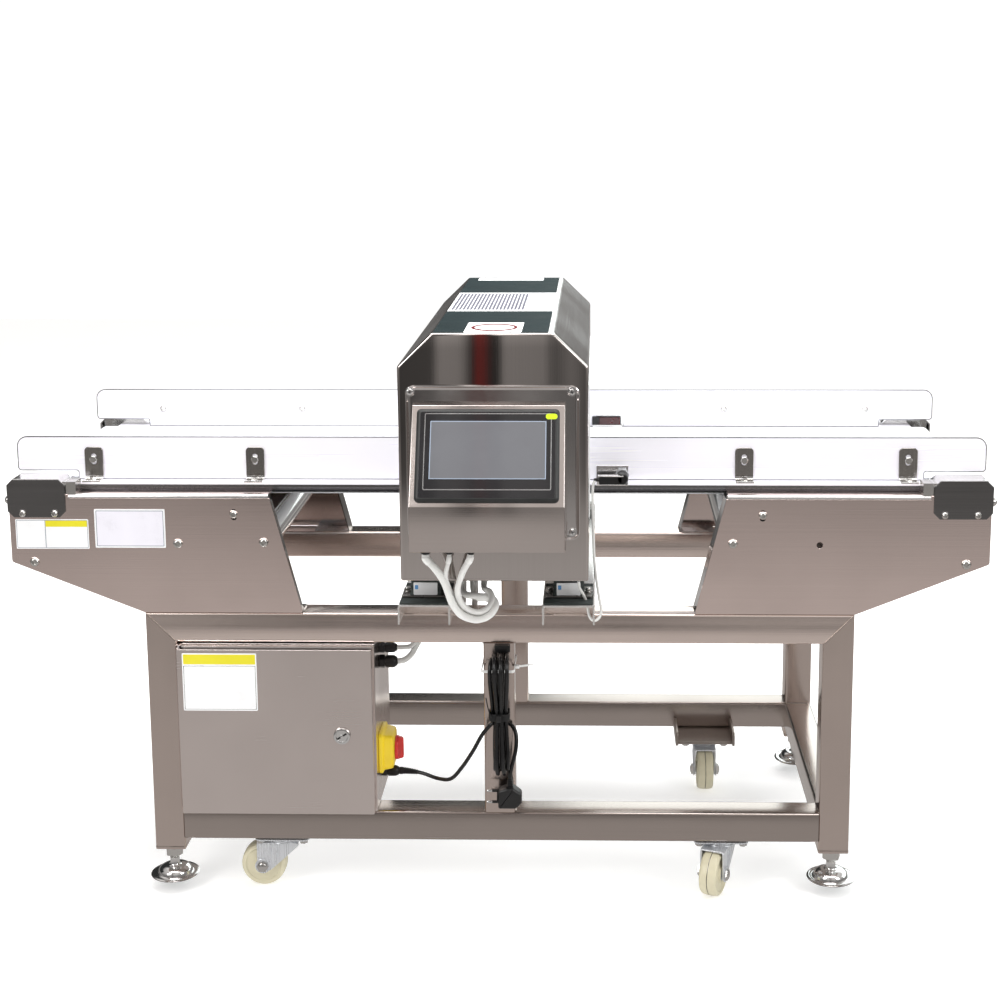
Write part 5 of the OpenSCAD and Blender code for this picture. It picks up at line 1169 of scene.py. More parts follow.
def make_wings():
    """Wing housings: cheek plates with broken rims and real holes, a flange along the top, and bent pans.

    The roll along the top is a quarter circle of 6 mm outside and 4 mm inside.
    """
    p = Piece()
    for side, y0 in ((0, 0.0), (1, DEPTH - 2)):
        outline = rounded([(WING_FOOT, TOP), (HALF_L, TOP), (WING_END, WING_KNEE), (WING_END, WING_TOP),
                           (689, WING_TOP), (689, 672), (364.8, 672)], [3, 2, 5, 2, 0.5, 0.5, 0.5], 4)

        def turn(shape):
            """The shape on the front plate, or carried over to the rear one."""
            return shape if side == 0 else mirrored(shape)

        for s in (-1, 1):
            flip = MIRROR_X if s < 0 else None
            holes = [slot_of(*SLOT_AT, 9, 18), circle(*HOLE_AT, 5)]
            p.add(holed(outline, holes, y0, y0 + 2, "Y", 0.35), 0, flip=flip)
            # Rolled fold along the top, and the returns along the top, the slanted edge and the foot
            quarter = np.linspace(0, math.pi / 2, 7)
            roll = [(6.0 - 6.0 * math.cos(t), 672.0 + 6.0 * math.sin(t)) for t in quarter]
            roll += [(6.0 - 4.0 * math.cos(t), 672.0 + 4.0 * math.sin(t)) for t in quarter[::-1]]
            p.add(turn(slab(roll, 366.4, 689.0, "X", 0.3, 1)), 1, flip=flip)
            p.add(turn(rbox([366.4, 5.8, 676], [676, 43, 678], 0.4, 1)), 0, flip=flip)
            lean = rounded([(WING_FOOT, TOP), (318.06, TOP), (368.06, WING_TOP), (366, WING_TOP)], 0.3, 2)
            reach = 14.0 if s < 0 and side == 0 else 43.0
            # The left slanted returns are the same folded sheet as the right ones, darkened as painted shade
            p.add(turn(slab(lean, 1.0, reach, "Y", 0.3, 1)), 3 if s < 0 else 2, flip=flip)
            foot = [(1.0, TOP), (43, TOP), (43, TOP + 2), (3.0, TOP + 2), (1.0, TOP + 2)]
            foot = rounded(foot, [0.9, 0.4, 0.4, 0.2, 0.2], 3)
            p.add(turn(slab(foot, 317.0, 383.0, "X", 0.3, 1)), 2, flip=flip)
            root = DEPTH - 2.0 if side else 2.0
            p.add(weld_bead([470, root, 484.6], [570, root, 484.6], 1.1, 3.0), 0, flip=flip)
    p.done("wing_cheeks", ["wing", "wing_roll", "wing_return", "return_painted_shade"], replaces=("wing_plates",))
    q = Piece()
    line = [(456, TOP), (HALF_L, TOP), (WING_END, WING_KNEE), (WING_END, 638), (783, 638), (783, 567.4),
            (573.1, 484), (456, 484)]
    line = rounded(line, [0.5, 6, 6, 0.6, 0.6, 4, 4, 0.5], 4)
    step = rounded(rectangle(383, 458, 2, 265), [0.5, 0.5, 3, 8], 4)
    for s in (-1, 1):
        flip = MIRROR_X if s < 0 else None
        q.add(slab(line, 2.0, DEPTH - 2, "Y", 0.2, 1), 0, flip=flip)
        q.add(slab(step, TOP, TOP + 2, "Z", 0.3, 1), 0, flip=flip)
        for x, y in ((391, 80), (391, 250), (478, 30), (478, 530)):
            q.add(lathe([(6, 0), (5.6, 1.6), (3.4, 2.6), (0, 2.8)], 24), 1, (s * x, y, 484))
    q.done("wing_floors", ["pan", "bolt"], replaces=("wing_pans",))


def make_bed_and_guards():
    """Folded slider bed, bright side guards with round corners, and their slotted angle brackets."""
    p = Piece()
    bed = [(33, 678), (35, 678), (35, 688), (525, 688), (525, 678), (527, 678), (527, 690), (33, 690)]
    # The bed takes the darkened bed steel, painted shade
    p.add(slab(rounded(bed, [0.4, 0.4, 1.0, 1.0, 0.4, 0.4, 2.4, 2.4], 4), -750.0, 750.0, "X", 0.3, 1))
    # Pale film over the deck's border that wraps its edge, in the guards' finish that glows faintly as
    # painted light, and a toothed trim along the foot of each lip
    for near, far, out in ((32.85, 60.0, -1), (527.15, 500.0, 1)):
        inside = near - out * 0.4
        wrap = [(near, 687.0), (near, 690.15), (far, 690.15), (far, DECK), (inside, DECK), (inside, 687.0)]
        p.add(slab(rounded(wrap, [0.05, 1.2, 0.05, 0.02, 0.8, 0.02], 3), -749.0, 749.0, "X", 0.05, 1), 1)
    comb = [(-690.0, 680.6)]
    for x in -688.0 + 8.0 * np.arange(172):
        comb += [(x, 680.6), (x + 1.2, 681.6), (x + 5.0, 681.6), (x + 6.2, 680.6)]
    comb += [(690.0, 680.6), (690.0, 678.1), (-690.0, 678.1)]
    for y0 in (32.7, 526.8):
        p.add(slab(comb, y0, y0 + 0.5, "Y", 0.08, 1), 2)
    p.done("bed_sheet", ["bed", "guard", "guard_edge"], replaces=("slider_bed",))
    g = Piece()
    outline = [(-GUARD_FOOT, DECK), (GUARD_FOOT, DECK), (GUARD_FOOT, 704), (GUARD_END, 704),
               (GUARD_END, GUARD_TOP), (-GUARD_END, GUARD_TOP), (-GUARD_END, 704), (-GUARD_FOOT, 704)]
    outline = rounded(outline, [2, 2, 3, 6, 17, 17, 6, 3], 7)
    for y0 in (58.0, 500.0):
        g.add(holed(outline, [circle(200, 701, 5)], y0, y0 + 2, "Y", 0.4), 0)
        # Dark band round the rim of both faces, painted shade along the sheet's edge that frames the pale
        # face
        g.add(frame_between(outline, inset(outline, 1.5), y0 - 0.12, y0 + 2.12, "Y", 0.2), 1)
    g.done("guard_sheets", ["guard", "guard_edge"], slot="guard_sheet", replaces=("side_guards",))
    b = Piece()
    for s in (1, -1):
        for x in (-BRACKET_X[0], -BRACKET_X[1], BRACKET_X[1], BRACKET_X[0]):
            outline = rounded(rectangle(x - 15, x + 15, 697, 744), [0.3, 0.3, 7, 7], 6)
            up = holed(outline, [slot_of(x, BRACKET_Z, 8.6, 18)], 55.0, 58.0, "Y", 0.4)
            fold = [(33, DECK), (58, DECK), (58, 697), (55, 697), (55, 693), (33, 693)]
            fold = rounded(fold, [0.6, 3.6, 0.1, 0.1, 1.4, 0.6], 5)
            foot = slab(fold, x - 15, x + 15, "X", 0.4, 1)
            # One bent angle: the upright takes the darkened steel as painted shade, the foot the bright steel
            for shape, mat in ((up, 0), (foot, 1)):
                b.add(shape, mat, flip=(1, DEPTH / 2) if s < 0 else None)
    b.done("guard_angles", ["bracket", "bracket_foot"], replaces=("guard_brackets",))


def make_end_caps():
    """Bent covers over the end rollers' blocks: a brushed face darkened as painted shade, a bright lid and
    broken corners.
    """
    p = Piece()
    x0, x1, z0, z1, c = 693.0, 787.0, 640.0, 703.0, 10.0
    outline = [(x0, z0 + c), (x0 + c, z0), (x1 - c, z0), (x1, z0 + c),
               (x1, z1 - c), (x1 - c, z1), (x0 + c, z1), (x0, z1 - c)]
    face = slab(rounded(outline, 1.5, 3), -2.0, 0.4, "Y", 1.1, 3)
    # The lid follows the top and the outer side, 2 mm thick
    bend = [(x0, 698.4), (x0, z1 - c), (x0 + c, z1), (x1 - c, z1), (x1, z1 - c), (x1, z0 + c),
            (x1 - c * 0.6, z0 + c * 0.4)]
    line = rounded(bend, [0, 1.5, 2.0, 2.0, 2.0, 2.0, 0], 3)[::-1]
    d = np.gradient(line, axis=0)
    d /= np.linalg.norm(d, axis=1, keepdims=True)
    lid = strip(line, line + 2.0 * np.stack([-d[:, 1], d[:, 0]], 1), 0.2, 45.0)
    for s in (1, -1):
        for e in (1, -1):
            for shape, mat in ((face, 0), (lid, 1)):
                v, f = mirrored(shape) if s < 0 else shape
                p.add((v, f), mat, flip=MIRROR_X if e < 0 else None)
    p.done("roller_covers", ["cap_face_shaded", "cap_lid"], replaces=("end_caps",))


def make_fasteners():
    """Button bolts, nuts, washers, lock nuts and cap nuts, each on the part that it clamps."""
    p = Piece()
    for s in (1, -1):

        def y(d):
            """Depth d behind the front face, or as far before the rear one."""
            return d if s > 0 else DEPTH - d

        out, back = (FRONT, BACKWARD) if s > 0 else (BACKWARD, FRONT)
        foot_y, swivel_y, mount_y = (25.0, 36.0, MOUNT_Y[0]) if s > 0 else (535.0, 470.0, MOUNT_Y[1])
        for e in (1, -1):
            for x, z, r in ((SLOT_AT[0], SLOT_AT[1] + 0.8, 7.0), (376, 599, 8.0), (748, 566, 8.0)):
                socket_bolt(p, (e * x, y(0), z), out, r)
            # The right hole stays open
            if e < 0:
                socket_bolt(p, (-HOLE_AT[0], y(0), HOLE_AT[1]), out, 8.0)
            nut_with_washer(p, (e * 748, y(2), 566), back)
            for x in (711, 763):
                socket_bolt(p, (e * x, y(-2), 647), out, 6.0, 4.6)
                nut_with_washer(p, (e * x, y(2), 647), back)
            cap = lathe([(6.5, 0), (7.0, 0.4), (7.0, 4.4), (6.4, 6.0), (4.8, 8.0), (2.6, 9.0), (0, 9.0)], 32)
            p.add(cap, 0, (e * 787, y(16), 665), turned("Y", 90 * e))
            for x in BRACKET_X:
                socket_bolt(p, (e * x, y(60), BRACKET_Z), back, 7.0)
                nut_with_washer(p, (e * x, y(55), BRACKET_Z), out, 6.2, 5.0, 0, 0, 10 * e)
                p.add(hexnut(5.5, 4.0, 0, 0.18), 0, (e * x, y(45.5), 693.0), turned("Z", 17 * e))
                p.add(hexnut(5.5, 4.0, 0, 0.18), 0, (e * x, y(45.5), 687.0), DOWN)
        for e in (1, -1):
            for k in (-1, 1):
                x = e * CHANNEL_X + k * 31.5
                nut_with_washer(p, (x, mount_y, 521.0), UP, 5.5, 5.0, 0, 6.6, 15)
                nut_with_washer(p, (x, mount_y, 511.0), DOWN, 7.0, 5.0, 1, 0, 30)
            nut_with_washer(p, (e * CHANNEL_X, mount_y, 565.0), UP, 7.5, 5.0, 0)
        for e in (1, -1):
            p.add(hexnut(15.4, 15.0, 0, 0.10), 0, (e * LEG_X, foot_y, 54.5), turned("Z", 14 * e))
            p.add(hexnut(13.6, 3.4, 0, 0.20), 0, (e * LEG_X, foot_y, 69.6), turned("Z", 40 * e))
            for kx in (-36, 36):
                for ky in (-20, 27):
                    at = (e * CASTER_X + kx, swivel_y + ky, 84.0)
                    p.add(hexnut(7.0, 4.4, 0, 0.16), 0, at, DOWN @ turned("Z", kx + ky))
    p.done("bolts_and_nuts", ["bolt", "dark_nut"], slot="stainless_bright", replaces=("fasteners",))


def make_blank_plates():
    """Blank films where such a machine carries its plates; nothing is printed on them but bands of colour."""
    p = Piece()

    def film(x0, x1, z0, z1, y, mat, r=1.5, t=0.35):
        """Film in front of the wing, t thick."""
        p.add(slab(rounded(rectangle(x0, x1, z0, z1), r, 3), y - t, y + 0.1, "Y", 0.12, 1), mat)

    film(-776, -658, 588, 637, 0, 0)
    film(-774.6, -659.4, 589.4, 635.6, -0.30, 2, 1.0, 0.12)
    film(-773.8, -728.6, 590.2, 634.8, -0.38, 3, 0.6, 0.12)
    film(-727.4, -660.2, 590.2, 634.8, -0.38, 3, 0.6, 0.12)
    film(-727.4, -660.2, 624.5, 634.8, -0.46, 1, 0.6, 0.12)
    film(-648, -534, 590, 654, 0, 0, 1.5)
    film(-645.5, -536.5, 592.5, 651.5, -0.30, 2, 1.0, 0.12)
    film(-644.4, -537.6, 593.6, 650.4, -0.38, 4, 0.8, 0.12)
    p.done("wing_films", ["label", "yellow_band", "frame_line", "label", "lilac_film"], slot="white_plastic")


make_wings()
make_bed_and_guards()
make_end_caps()
make_fasteners()
make_blank_plates()


# Control cabinet


# Cabinet's walls in X, Y and Z, the door's outside, the lock's middle and the switch's middle
CABINET = (-523.0, -202.0, 180.0, 142.0, 430.0)
DOOR_FACE = -17.0
LOCK_X, LOCK_Z = -255, 280
SWITCH_Y, SWITCH_Z = 60.0, 230.0


def make_cabinet():
    """Folded cabinet box, open behind its door, with rolled edges, hinge lugs and a rain strip."""
    p = Piece()
    x0, x1, y1, z0, z1 = CABINET
    t = 1.5

    def box(k, r, y):
        """The box's outline at one depth, k inside its walls."""
        return lifted(rounded(rectangle(x0 + k, x1 - k, z0 + k, z1 - k), r, 4), y)

    def mouth(y):
        """The opening's outline, with a wider lip on the lock's side."""
        return lifted(rounded(rectangle(x0 + t, x1 - 20, z0 + t, z1 - t), 2, 4), y)

    p.add(rings([box(t, 2, y1 - t), box(t, 2, t), mouth(t), mouth(0.0), box(0.7, 2, 0.0), box(0.0, 2.5, 0.7),
                 box(0.0, 2.5, y1 - 3), box(0.9, 3, y1 - 0.9), box(3.0, 4, y1)]))
    for low in (z0, z1 - t):
        p.add(rbox([x0, -9, low], [x0 + 9, 1, low + t], 0.4), 0)
    rain_strip = [(-3, 425.8), (0.3, 425.8), (0.3, 429.6), (-15, 429.6), (-15, 428.2), (-3, 428.2)]
    p.add(slab(rounded(rain_strip, 0.3, 2), x0 + 10, x1 - 1, "X", 0.3, 1), 3)
    p.add(lathe(rectangle(0, 1.9, z0, z1), 16), 2, (-519.5, -5, 0))
    p.done("cabinet_box", ["cabinet", "gasket", "zinc", "cap_lid"], replaces=("cabinet",))


def make_door():
    """Door tray with rolled edges, a gasket behind it, a blank plate with a band, and hinge knuckles."""
    p = Piece()
    x0, x1, z0, z1 = -521.0, -205.0, 144.0, 425.0
    rim = rounded(rectangle(x0, x1, z0, z1), 2.2, 4)
    p.add(holed(rim, [circle(LOCK_X, LOCK_Z, 9.4, 32)], DOOR_FACE, -14.8, "Y", 0.7), 0)
    edge = ((0, -15.6), (0, -1.2), (0.3, -1.0), (1.4, -1.0), (1.6, -1.2), (1.6, -15.0), (0, -15.6))
    p.add(rings([lifted(inset(rim, d), y) for d, y in edge], False, False), 0)
    seal = resample(rounded(rectangle(x0 + 10, x1 - 10, z0 + 10, z1 - 10), 6, 4), 96)
    path = lifted(seal, -3.4)
    p.add(tube(np.vstack([path, path[:2]]), 2.2, 10), 1)

    def film(a, b, c, d, mat, t=0.3, r=2.0):
        """Film on the door, t thick."""
        p.add(slab(rounded(rectangle(a, b, c, d), r, 3), DOOR_FACE - t, DOOR_FACE + 0.2, "Y", 0.1, 1), mat)

    film(-512, -391, 322, 419, 2)
    film(-510, -393, 400.5, 417, 3, 0.45, 1.0)
    for line in ((-510, -509.2, 324, 398), (-393.8, -393, 324, 398), (-510, -393, 324, 324.8),
                 (-510, -393, 397.2, 398)):
        film(*line, 4, 0.42, 0.1)
    for low in (z0, z1 - 20.0):
        p.add(rbox([CABINET[0], -9.0, low], [CABINET[0] + 9.0, -1.2, low + 20.0], 1.2), 0)
    p.done("door_tray", ["cabinet", "gasket", "label", "yellow_band", "silver_line"], "door_body",
           replaces=("cabinet_door",))


def make_lock():
    """Quarter-turn lock: chromed rim, sunk face with a coin slot, nut and cam behind the door."""
    p = Piece()
    at, out = (LOCK_X, DOOR_FACE, LOCK_Z), FRONT
    rim = [(9.2, 0), (13.2, 0), (14.0, 0.6), (14.0, 2.6), (13.2, 4.0), (11.2, 4.8), (9.8, 4.6), (9.0, 3.0),
           (0, 3.0)]
    p.add(lathe(rim, 44), 0, at, out)
    for k in (0, 180):
        p.add(rbox([2.2, -1.5, 2.9], [8.6, 1.5, 3.4], 0.25), 1, at, out @ turned("Z", 32 + k))
    p.add(lathe([(0, 2.9), (2.8, 2.9), (2.6, 3.9), (1.6, 4.4), (0, 4.4)], 24), 0, at, out)
    p.add(lathe(rectangle(0, 8.9, 0, 22.5), 28), 1, at, BACKWARD)
    cam = rounded(rectangle(LOCK_X - 6, LOCK_X + 6, LOCK_Z + 6, LOCK_Z - 42), 5, 5)
    p.add(slab(cam, 3.5, 5.5, "Y", 0.4, 2), 2)
    p.add(lathe([(0, 22.5), (7.0, 22.5), (7.0, 24.6), (5.0, 25.4), (0, 25.4)], 6), 2, at, BACKWARD)
    p.done("door_latch", ["chrome", "black", "zinc"], "lock_body", slot="black_plastic",
           replaces=("door_lock",))


def make_switch():
    """Isolator switch: skirted yellow plate with corner screws, and a red grip with a wedge handle."""
    p = Piece()
    cy, cz, x = SWITCH_Y, SWITCH_Z, CABINET[1]
    # Half width, corner radius and height above the wall, from the skirt to the top
    skirt = ((33.0, 5, 0), (34.0, 6, 0.8), (34.0, 6, 5.0), (33.2, 6, 6.4), (30.2, 7, 8.4), (28.8, 8, 19.0),
             (27.6, 8, 22.0), (25.0, 8, 23.6), (20.0, 8, 24.0))
    p.add(rings([lifted(rounded(rectangle(cy - h, cy + h, cz - h, cz + h), r, 6), x + up, "X")
                 for h, r, up in skirt]), 0)
    collar = [(22.4, 0), (22.4, 1.2), (21.6, 1.8), (21.2, 1.2), (0, 1.2)]
    p.add(lathe(collar, 48), 0, (x + 22.6, cy, cz), RIGHT)
    for a in (-1, 1):
        for b in (-1, 1):
            cross_screw(p, (x + 7.2, cy + a * 26.0, cz + b * 26.0), turned("Y", 90), 1, 3.2, 1.8)
    p.done("isolator_plate", ["yellow", "chrome", "black"], slot="isolator_yellow", replaces=("switch_base",))
    k = Piece()
    n = 48
    a = np.arange(n) * 2 * np.pi / n
    scallop = 1 + 0.035 * np.cos(8 * a)
    loops = []
    for r, h in ((20.0, 0.4), (20.8, 1.2), (20.8, 4.6), (20.0, 5.8), (18.4, 6.4), (0.01, 6.4)):
        loops.append(lifted(circle(0, 0, 0.965 * r * (scallop if h < 6 else 1), n), h, "Z"))
    k.add(rings(loops), 0, (x + 24.0, cy, cz), RIGHT)
    grip = []
    for x_at, w, h in ((0.0, 12.0, 19.0), (2.0, 11.0, 18.6), (6.0, 8.4, 18.0), (8.0, 5.4, 17.0),
                       (8.6, 2.4, 14.0)):
        q = rounded(rectangle(-w / 2, w / 2, -h, h), min(w, 4) * 0.45, 4)
        grip.append(lifted(q + [cy, cz], x + 29.2 + x_at, "X"))
    k.add(rings(grip), 0)
    k.add(rbox([x + 37.4, cy - 0.8, cz + 6], [x + 37.9, cy + 0.8, cz + 15], 0.2), 1)
    k.done("isolator_grip", ["red", "label"], "knob_body", slot="isolator_red", replaces=("switch_knob",))


# Cable glands


def gland(p, at, turn, r, length, cable):
    """Cable gland: hexagon foot, ribbed barrel and a domed nut with grip flats; local Z points outwards."""
    p.add(hexnut(r * 1.10, length * 0.30, 0, 0.12), 0, at, turn)
    at2 = np.asarray(at, float) + np.asarray(turn) @ np.array([0, 0, length * 0.30])
    p.add(lathe([(r * 0.80, 0), (r * 0.80, length * 0.06)], 24), 0, at2, turn)
    n = 48
    a = np.arange(n) * 2 * np.pi / n
    rib = 1 + 0.045 * np.sign(np.cos(12 * a)) * 0.6
    c = cable * 1.02
    dome = ((r * 0.90, 0.05), (r * 0.98 * rib, 0.10), (r * 0.98 * rib, 0.46), (r * 0.92, 0.54),
            (r * 0.78, 0.62), (r * 0.62, 0.68), (c, 0.70), (c * 0.98, 0.64))
    p.add(rings([lifted(circle(0, 0, q, n), length * h, "Z") for q, h in dome]), 0, at2, turn)


def make_relief():
    """Tapered sleeve where the lead leaves its gland, with cut rings that let it flex."""
    p = Piece()
    target = np.vstack([[LEAD_EXIT], lead_path[1:26]])
    at = np.linspace(0, min(30.0, lengths(target)[-1]), 46)
    path = read_at(target, at)
    share = at / at[-1]
    r = 6.4 - 2.4 * share
    cut = (np.arange(len(at)) % 6) >= 4
    r = np.where(cut & (share > 0.12) & (share < 0.93), r - 0.8, r)
    r[0] = 6.0
    p.add(tube(path, np.maximum(r, LEAD_D / 2 + 0.15), 22))
    p.done("lead_relief", ["black"], slot="black_plastic")


def make_glands():
    """Glands on the cabinet's wall, under the panel and under the head."""
    p = Piece()
    for z, r, c in ((403, 8.5, 4), (379, 10.5, 5), (187, 9.0, 3.3)):
        gland(p, (CABINET[1], LEAD_EXIT[1], z), RIGHT, r, 30.0, c)
    for x, d in ((-100, 12), (-64, 9), (-32, 9)):
        gland(p, (x, -150, 635), DOWN, d / 2 + 2.5, 12.0, d / 2)
    for x, y, d in ((-62, 8, 12), (-42, 8, 9), (-22, 8, 9), (-60, 68, 8), (-42, 68, 10), (130, -45, 4.5)):
        gland(p, (x, y, 562), DOWN, d / 2 + 2.5, 12.0, d / 2)
    p.done("glands", ["black"], slot="black_plastic", replaces=("cable_glands",))


make_cabinet()
make_door()
make_lock()
make_switch()
make_glands()
make_relief()


# Fixed cables

PANEL_ROUTES = ((11.0, [[-100, -150, 623], [-100, -150, 616], [-88, -148, 602], [-76, -140, 581],
                        [-68, -128, 553], [-62, -118, 533], [-50, -108, 514], [-28, -98, 503],
                        [-9, -88, 507], [1, -76, 520], [-8, -58, 526], [-28, -36, 522], [-50, -14, 518],
                        [-60, 0, 524], [-62, 8, 538], [-62, 8, 550]]),
                (6.5, [[-64, -150, 623], [-65, -149.5, 613], [-71, -141, 587], [-68, -130, 568],
                       [-62, -113, 545], [-52, -99, 522], [-28, -90, 509], [-12, -80, 512], [-7, -68, 520],
                       [-14, -52, 521], [-30, -30, 516], [-40, -10, 522], [-42, 4, 536], [-42, 8, 550]]),
                (9.4, [[-32, -150, 623], [-33, -149.5, 615], [-45, -141, 592], [-54, -128, 562],
                       [-52, -112, 538], [-42, -102, 522], [-26, -94, 514], [-12, -84, 517], [-5, -72, 527],
                       [-10, -54, 535], [-18, -32, 532], [-22, -8, 530], [-22, 6, 540], [-22, 8, 550]]))
PLAIN_ROUTES = ((8.0, [[-172, 64, 403], [-162, 64, 403], [-150, 65, 405], [-142, 66, 414], [-132, 67, 430],
                       [-104, 68, 446], [-76, 68, 458], [-63, 68, 474], [-60, 68, 500], [-60, 68, 530],
                       [-60, 68, 550]]),
                (10.0, [[-172, 64, 379], [-162, 66, 380], [-150, 74, 388], [-142, 77, 402], [-132, 77, 416],
                        [-106, 76, 430], [-68, 72, 442], [-47, 69, 460], [-42, 68, 490], [-42, 68, 525],
                        [-42, 68, 550]]),
                (4.5, [[162, 22, 698.5], [158, 22, 698.5], [153, 21, 691], [152, 18, 668], [153, 14, 630],
                       [154.5, 10, 577], [158, 8, 540], [163, 5, 506], [166, 0, 490], [163, -8, 479],
                       [154.5, -16, 476], [147, -24, 486], [143, -33, 510], [137, -41, 528],
                       [131, -44.6, 540], [130, -45, 550]]))


def even(path, step):
    """Points along a route at equal steps."""
    p = np.asarray(path, float)
    whole = lengths(p)[-1]
    return read_at(p, np.linspace(0, whole, max(4, int(whole / step))))


def braid(angle, i):
    """Crossed strands of a woven sleeve: two families of ridges that wind opposite ways."""
    a = np.cos(8 * angle + i * 0.62)
    b = np.cos(8 * angle - i * 0.62)
    return 1 + 0.035 * np.maximum(a, b)


def make_cables():
    """Sleeved panel cables, two control cables and the sensor's cable."""
    sleeves, plain, sensor = Piece(), Piece(), Piece()
    for d, route in PANEL_ROUTES:
        path = even(spline(route, 12), 1.3)
        n = len(path)
        # The sleeve bulges a little between its bends, and is bound at both ends
        t = np.linspace(0, 1, n)
        r = d / 2 * (1.0 + 0.05 * np.sin(t * 21.0) + 0.03 * np.sin(t * 47.0 + 1.0))
        sleeves.add(tube(path, r, 40, braid))
        for at in (0.035, 0.965):
            k = int(at * (n - 1))
            sleeves.add(tube(path[max(0, k - 4):k + 5], d / 2 + 0.9, 20), 1)
    for d, route in PLAIN_ROUTES[:2]:
        plain.add(tube(even(spline(route, 12), 3.0), d / 2, 18))
    d, route = PLAIN_ROUTES[2]
    sensor.add(tube(even(spline(route, 12), 2.5), d / 2, 14))
    sleeves.done("braided_sleeves", ["sleeve", "white"], slot="white_plastic", replaces=("fixed_cables",),
                 angle=60)
    plain.done("control_cables", ["grey_sheath"], slot="white_plastic")
    sensor.done("sensor_cable", ["grey_sheath"], slot="white_plastic")


# Head supports


def make_channels():
    """Folded channels under the head, open downwards, with rolled shoulders."""
    p = Piece()
    for s in (-1, 1):
        x = s * CHANNEL_X
        prof = [(-41.5, TOP), (-41.5, 514), (41.5, 514), (41.5, TOP), (38.5, TOP), (38.5, 511), (-38.5, 511),
                (-38.5, TOP)]
        q = rounded(np.array(prof) + [x, 0], [0.8, 4.5, 4.5, 0.8, 0.8, 1.8, 1.8, 0.8], 5)
        p.add(slab(q, -59.0, 619.0, "Y", 0.6, 2))
    p.done("head_channels", ["channel"], replaces=("support_channels",))


def make_isolators():
    """Rubber mounts: a thin strip, a bonded base plate and a ribbed block, with a blank plate in front."""
    p = Piece()
    # Heights and half widths of the ribbed block
    ribs = ((520.8, 25.0), (523.0, 25.0), (524.5, 24.2), (531, 23.4), (533, 24.6), (536, 24.6), (538, 23.4),
            (545, 23.4), (547, 24.6), (550, 24.6), (552, 23.4), (557, 24.0), (559, 25.0), (562, 25.0))
    for s in (-1, 1):
        x = s * CHANNEL_X
        for low in (-56, 506):
            strip_q = rounded(rectangle(x - 39, x + 39, low, low + 110), 2, 3)
            p.add(slab(strip_q, 514.0, 517.0, "Z", 0.5, 1), 0)
        for y in MOUNT_Y:
            base = rounded(rectangle(x - 38, x + 38, y - 28, y + 28), 4, 4)
            p.add(slab(base, 517.0, 521.0, "Z", 0.8, 2), 1)
            loops = [lifted(rounded(rectangle(x - r, x + r, y - r, y + r), 5, 5), z, "Z") for z, r in ribs]
            p.add(rings(loops), 0)
        plate = rounded(rectangle(x - 19, x + 19, 521.6, 542), 1.5, 3)
        p.add(slab(plate, -28.8, -26.4, "Y", 0.3, 1), 2)
        plate = rounded(rectangle(x - 16.8, x - 11.5, 531, 538), 1, 2)
        p.add(slab(plate, -28.95, -28.5, "Y", 0.05, 1), 3)
    p.done("rubber_mounts", ["rubber", "dark_nut", "label", "blue_band"], slot="rubber_black",
           replaces=("isolators",))


# Sensor pair


def make_sensor():
    """Photo sensor with its lens barrel and lamp on a bent holder, and the reflector across the belt."""
    p = Piece()
    body = rounded(rectangle(162, 200, 692, 705), [2, 2, 3, 3], 4)
    p.add(slab(body, 15.5, 28.5, "Y", 1.6, 3), 0)
    p.add(rbox([164, 17.5, 704.6], [172, 26.5, 705.4], 0.3), 1)
    barrel = [(0, 0), (7.4, 0), (8.4, 0.8), (9.0, 1.8)]
    for k in range(9):
        z = 3.0 + 3.4 * k
        barrel += [(9.0, z), (8.2, z + 0.6), (8.2, z + 1.4), (9.0, z + 2.0)]
    barrel += [(9.0, 36.5), (8.4, 38.0), (6.0, 38.5), (5.4, 37.6), (0, 37.6)]
    p.add(lathe(barrel, 36), 0, (200, 15.5, 701), BACKWARD)
    for z in (26.0, 33.0):
        p.add(hexnut(11.2, 3.6, 0, 0.15), 2, (200, 15.5 + z, 701), BACKWARD)
    fold = [(15.5, DECK), (58, DECK), (58, 714), (56, 714), (56, 692), (15.5, 692)]
    fold = rounded(fold, [0.4, 2.4, 0.8, 0.8, 0.8, 0.4], 4)
    p.add(slab(fold, 158.0, 210.0, "X", 0.4, 1), 3)
    sleeve = [(2.25, -1), (3.2, 0), (3.0, 4), (2.6, 7), (2.25, 9)]
    p.add(lathe(sleeve, 18), 0, (163, 22, 698.5), LEFT)
    p.add(rbox([160.5, 14.9, 704.4], [201.5, 29.1, 706.4], 0.8, 2), 3)
    p.done("photo_eye", ["black", "red", "zinc", "bracket_foot"], slot="black_plastic",
           replaces=("photo_sensor",))
    r = Piece()
    plate = rounded(rectangle(158, 210, 690, 714), [0.5, 0.5, 3, 3], 4)
    r.add(slab(plate, 498.0, 500.0, "Y", 0.4, 1), 2)
    frame_q = rounded(rectangle(150, 204, 694, 711), 2.5, 4)
    r.add(slab(frame_q, 493.2, 498.0, "Y", 0.7, 2), 1)
    r.add(slab(rounded(rectangle(151, 206, 690.3, 695.4), 0.8, 3), 491.0, 496.0, "Y", 0.4, 2), 2)
    lens = rounded(rectangle(164, 202.4, 695.6, 709.4), 1.2, 3)
    r.add(slab(lens, 492.0, 494.0, "Y", 0.5, 2), 0)
    r.add(slab(rounded(rectangle(151.5, 163, 695.6, 709.4), 1.2, 3), 492.2, 494.0, "Y", 0.4, 2), 1)
    r.done("reflector_plate", ["prism_red", "black", "bracket_foot"], slot="reflector_red",
           replaces=("reflector",))


# Cord ties


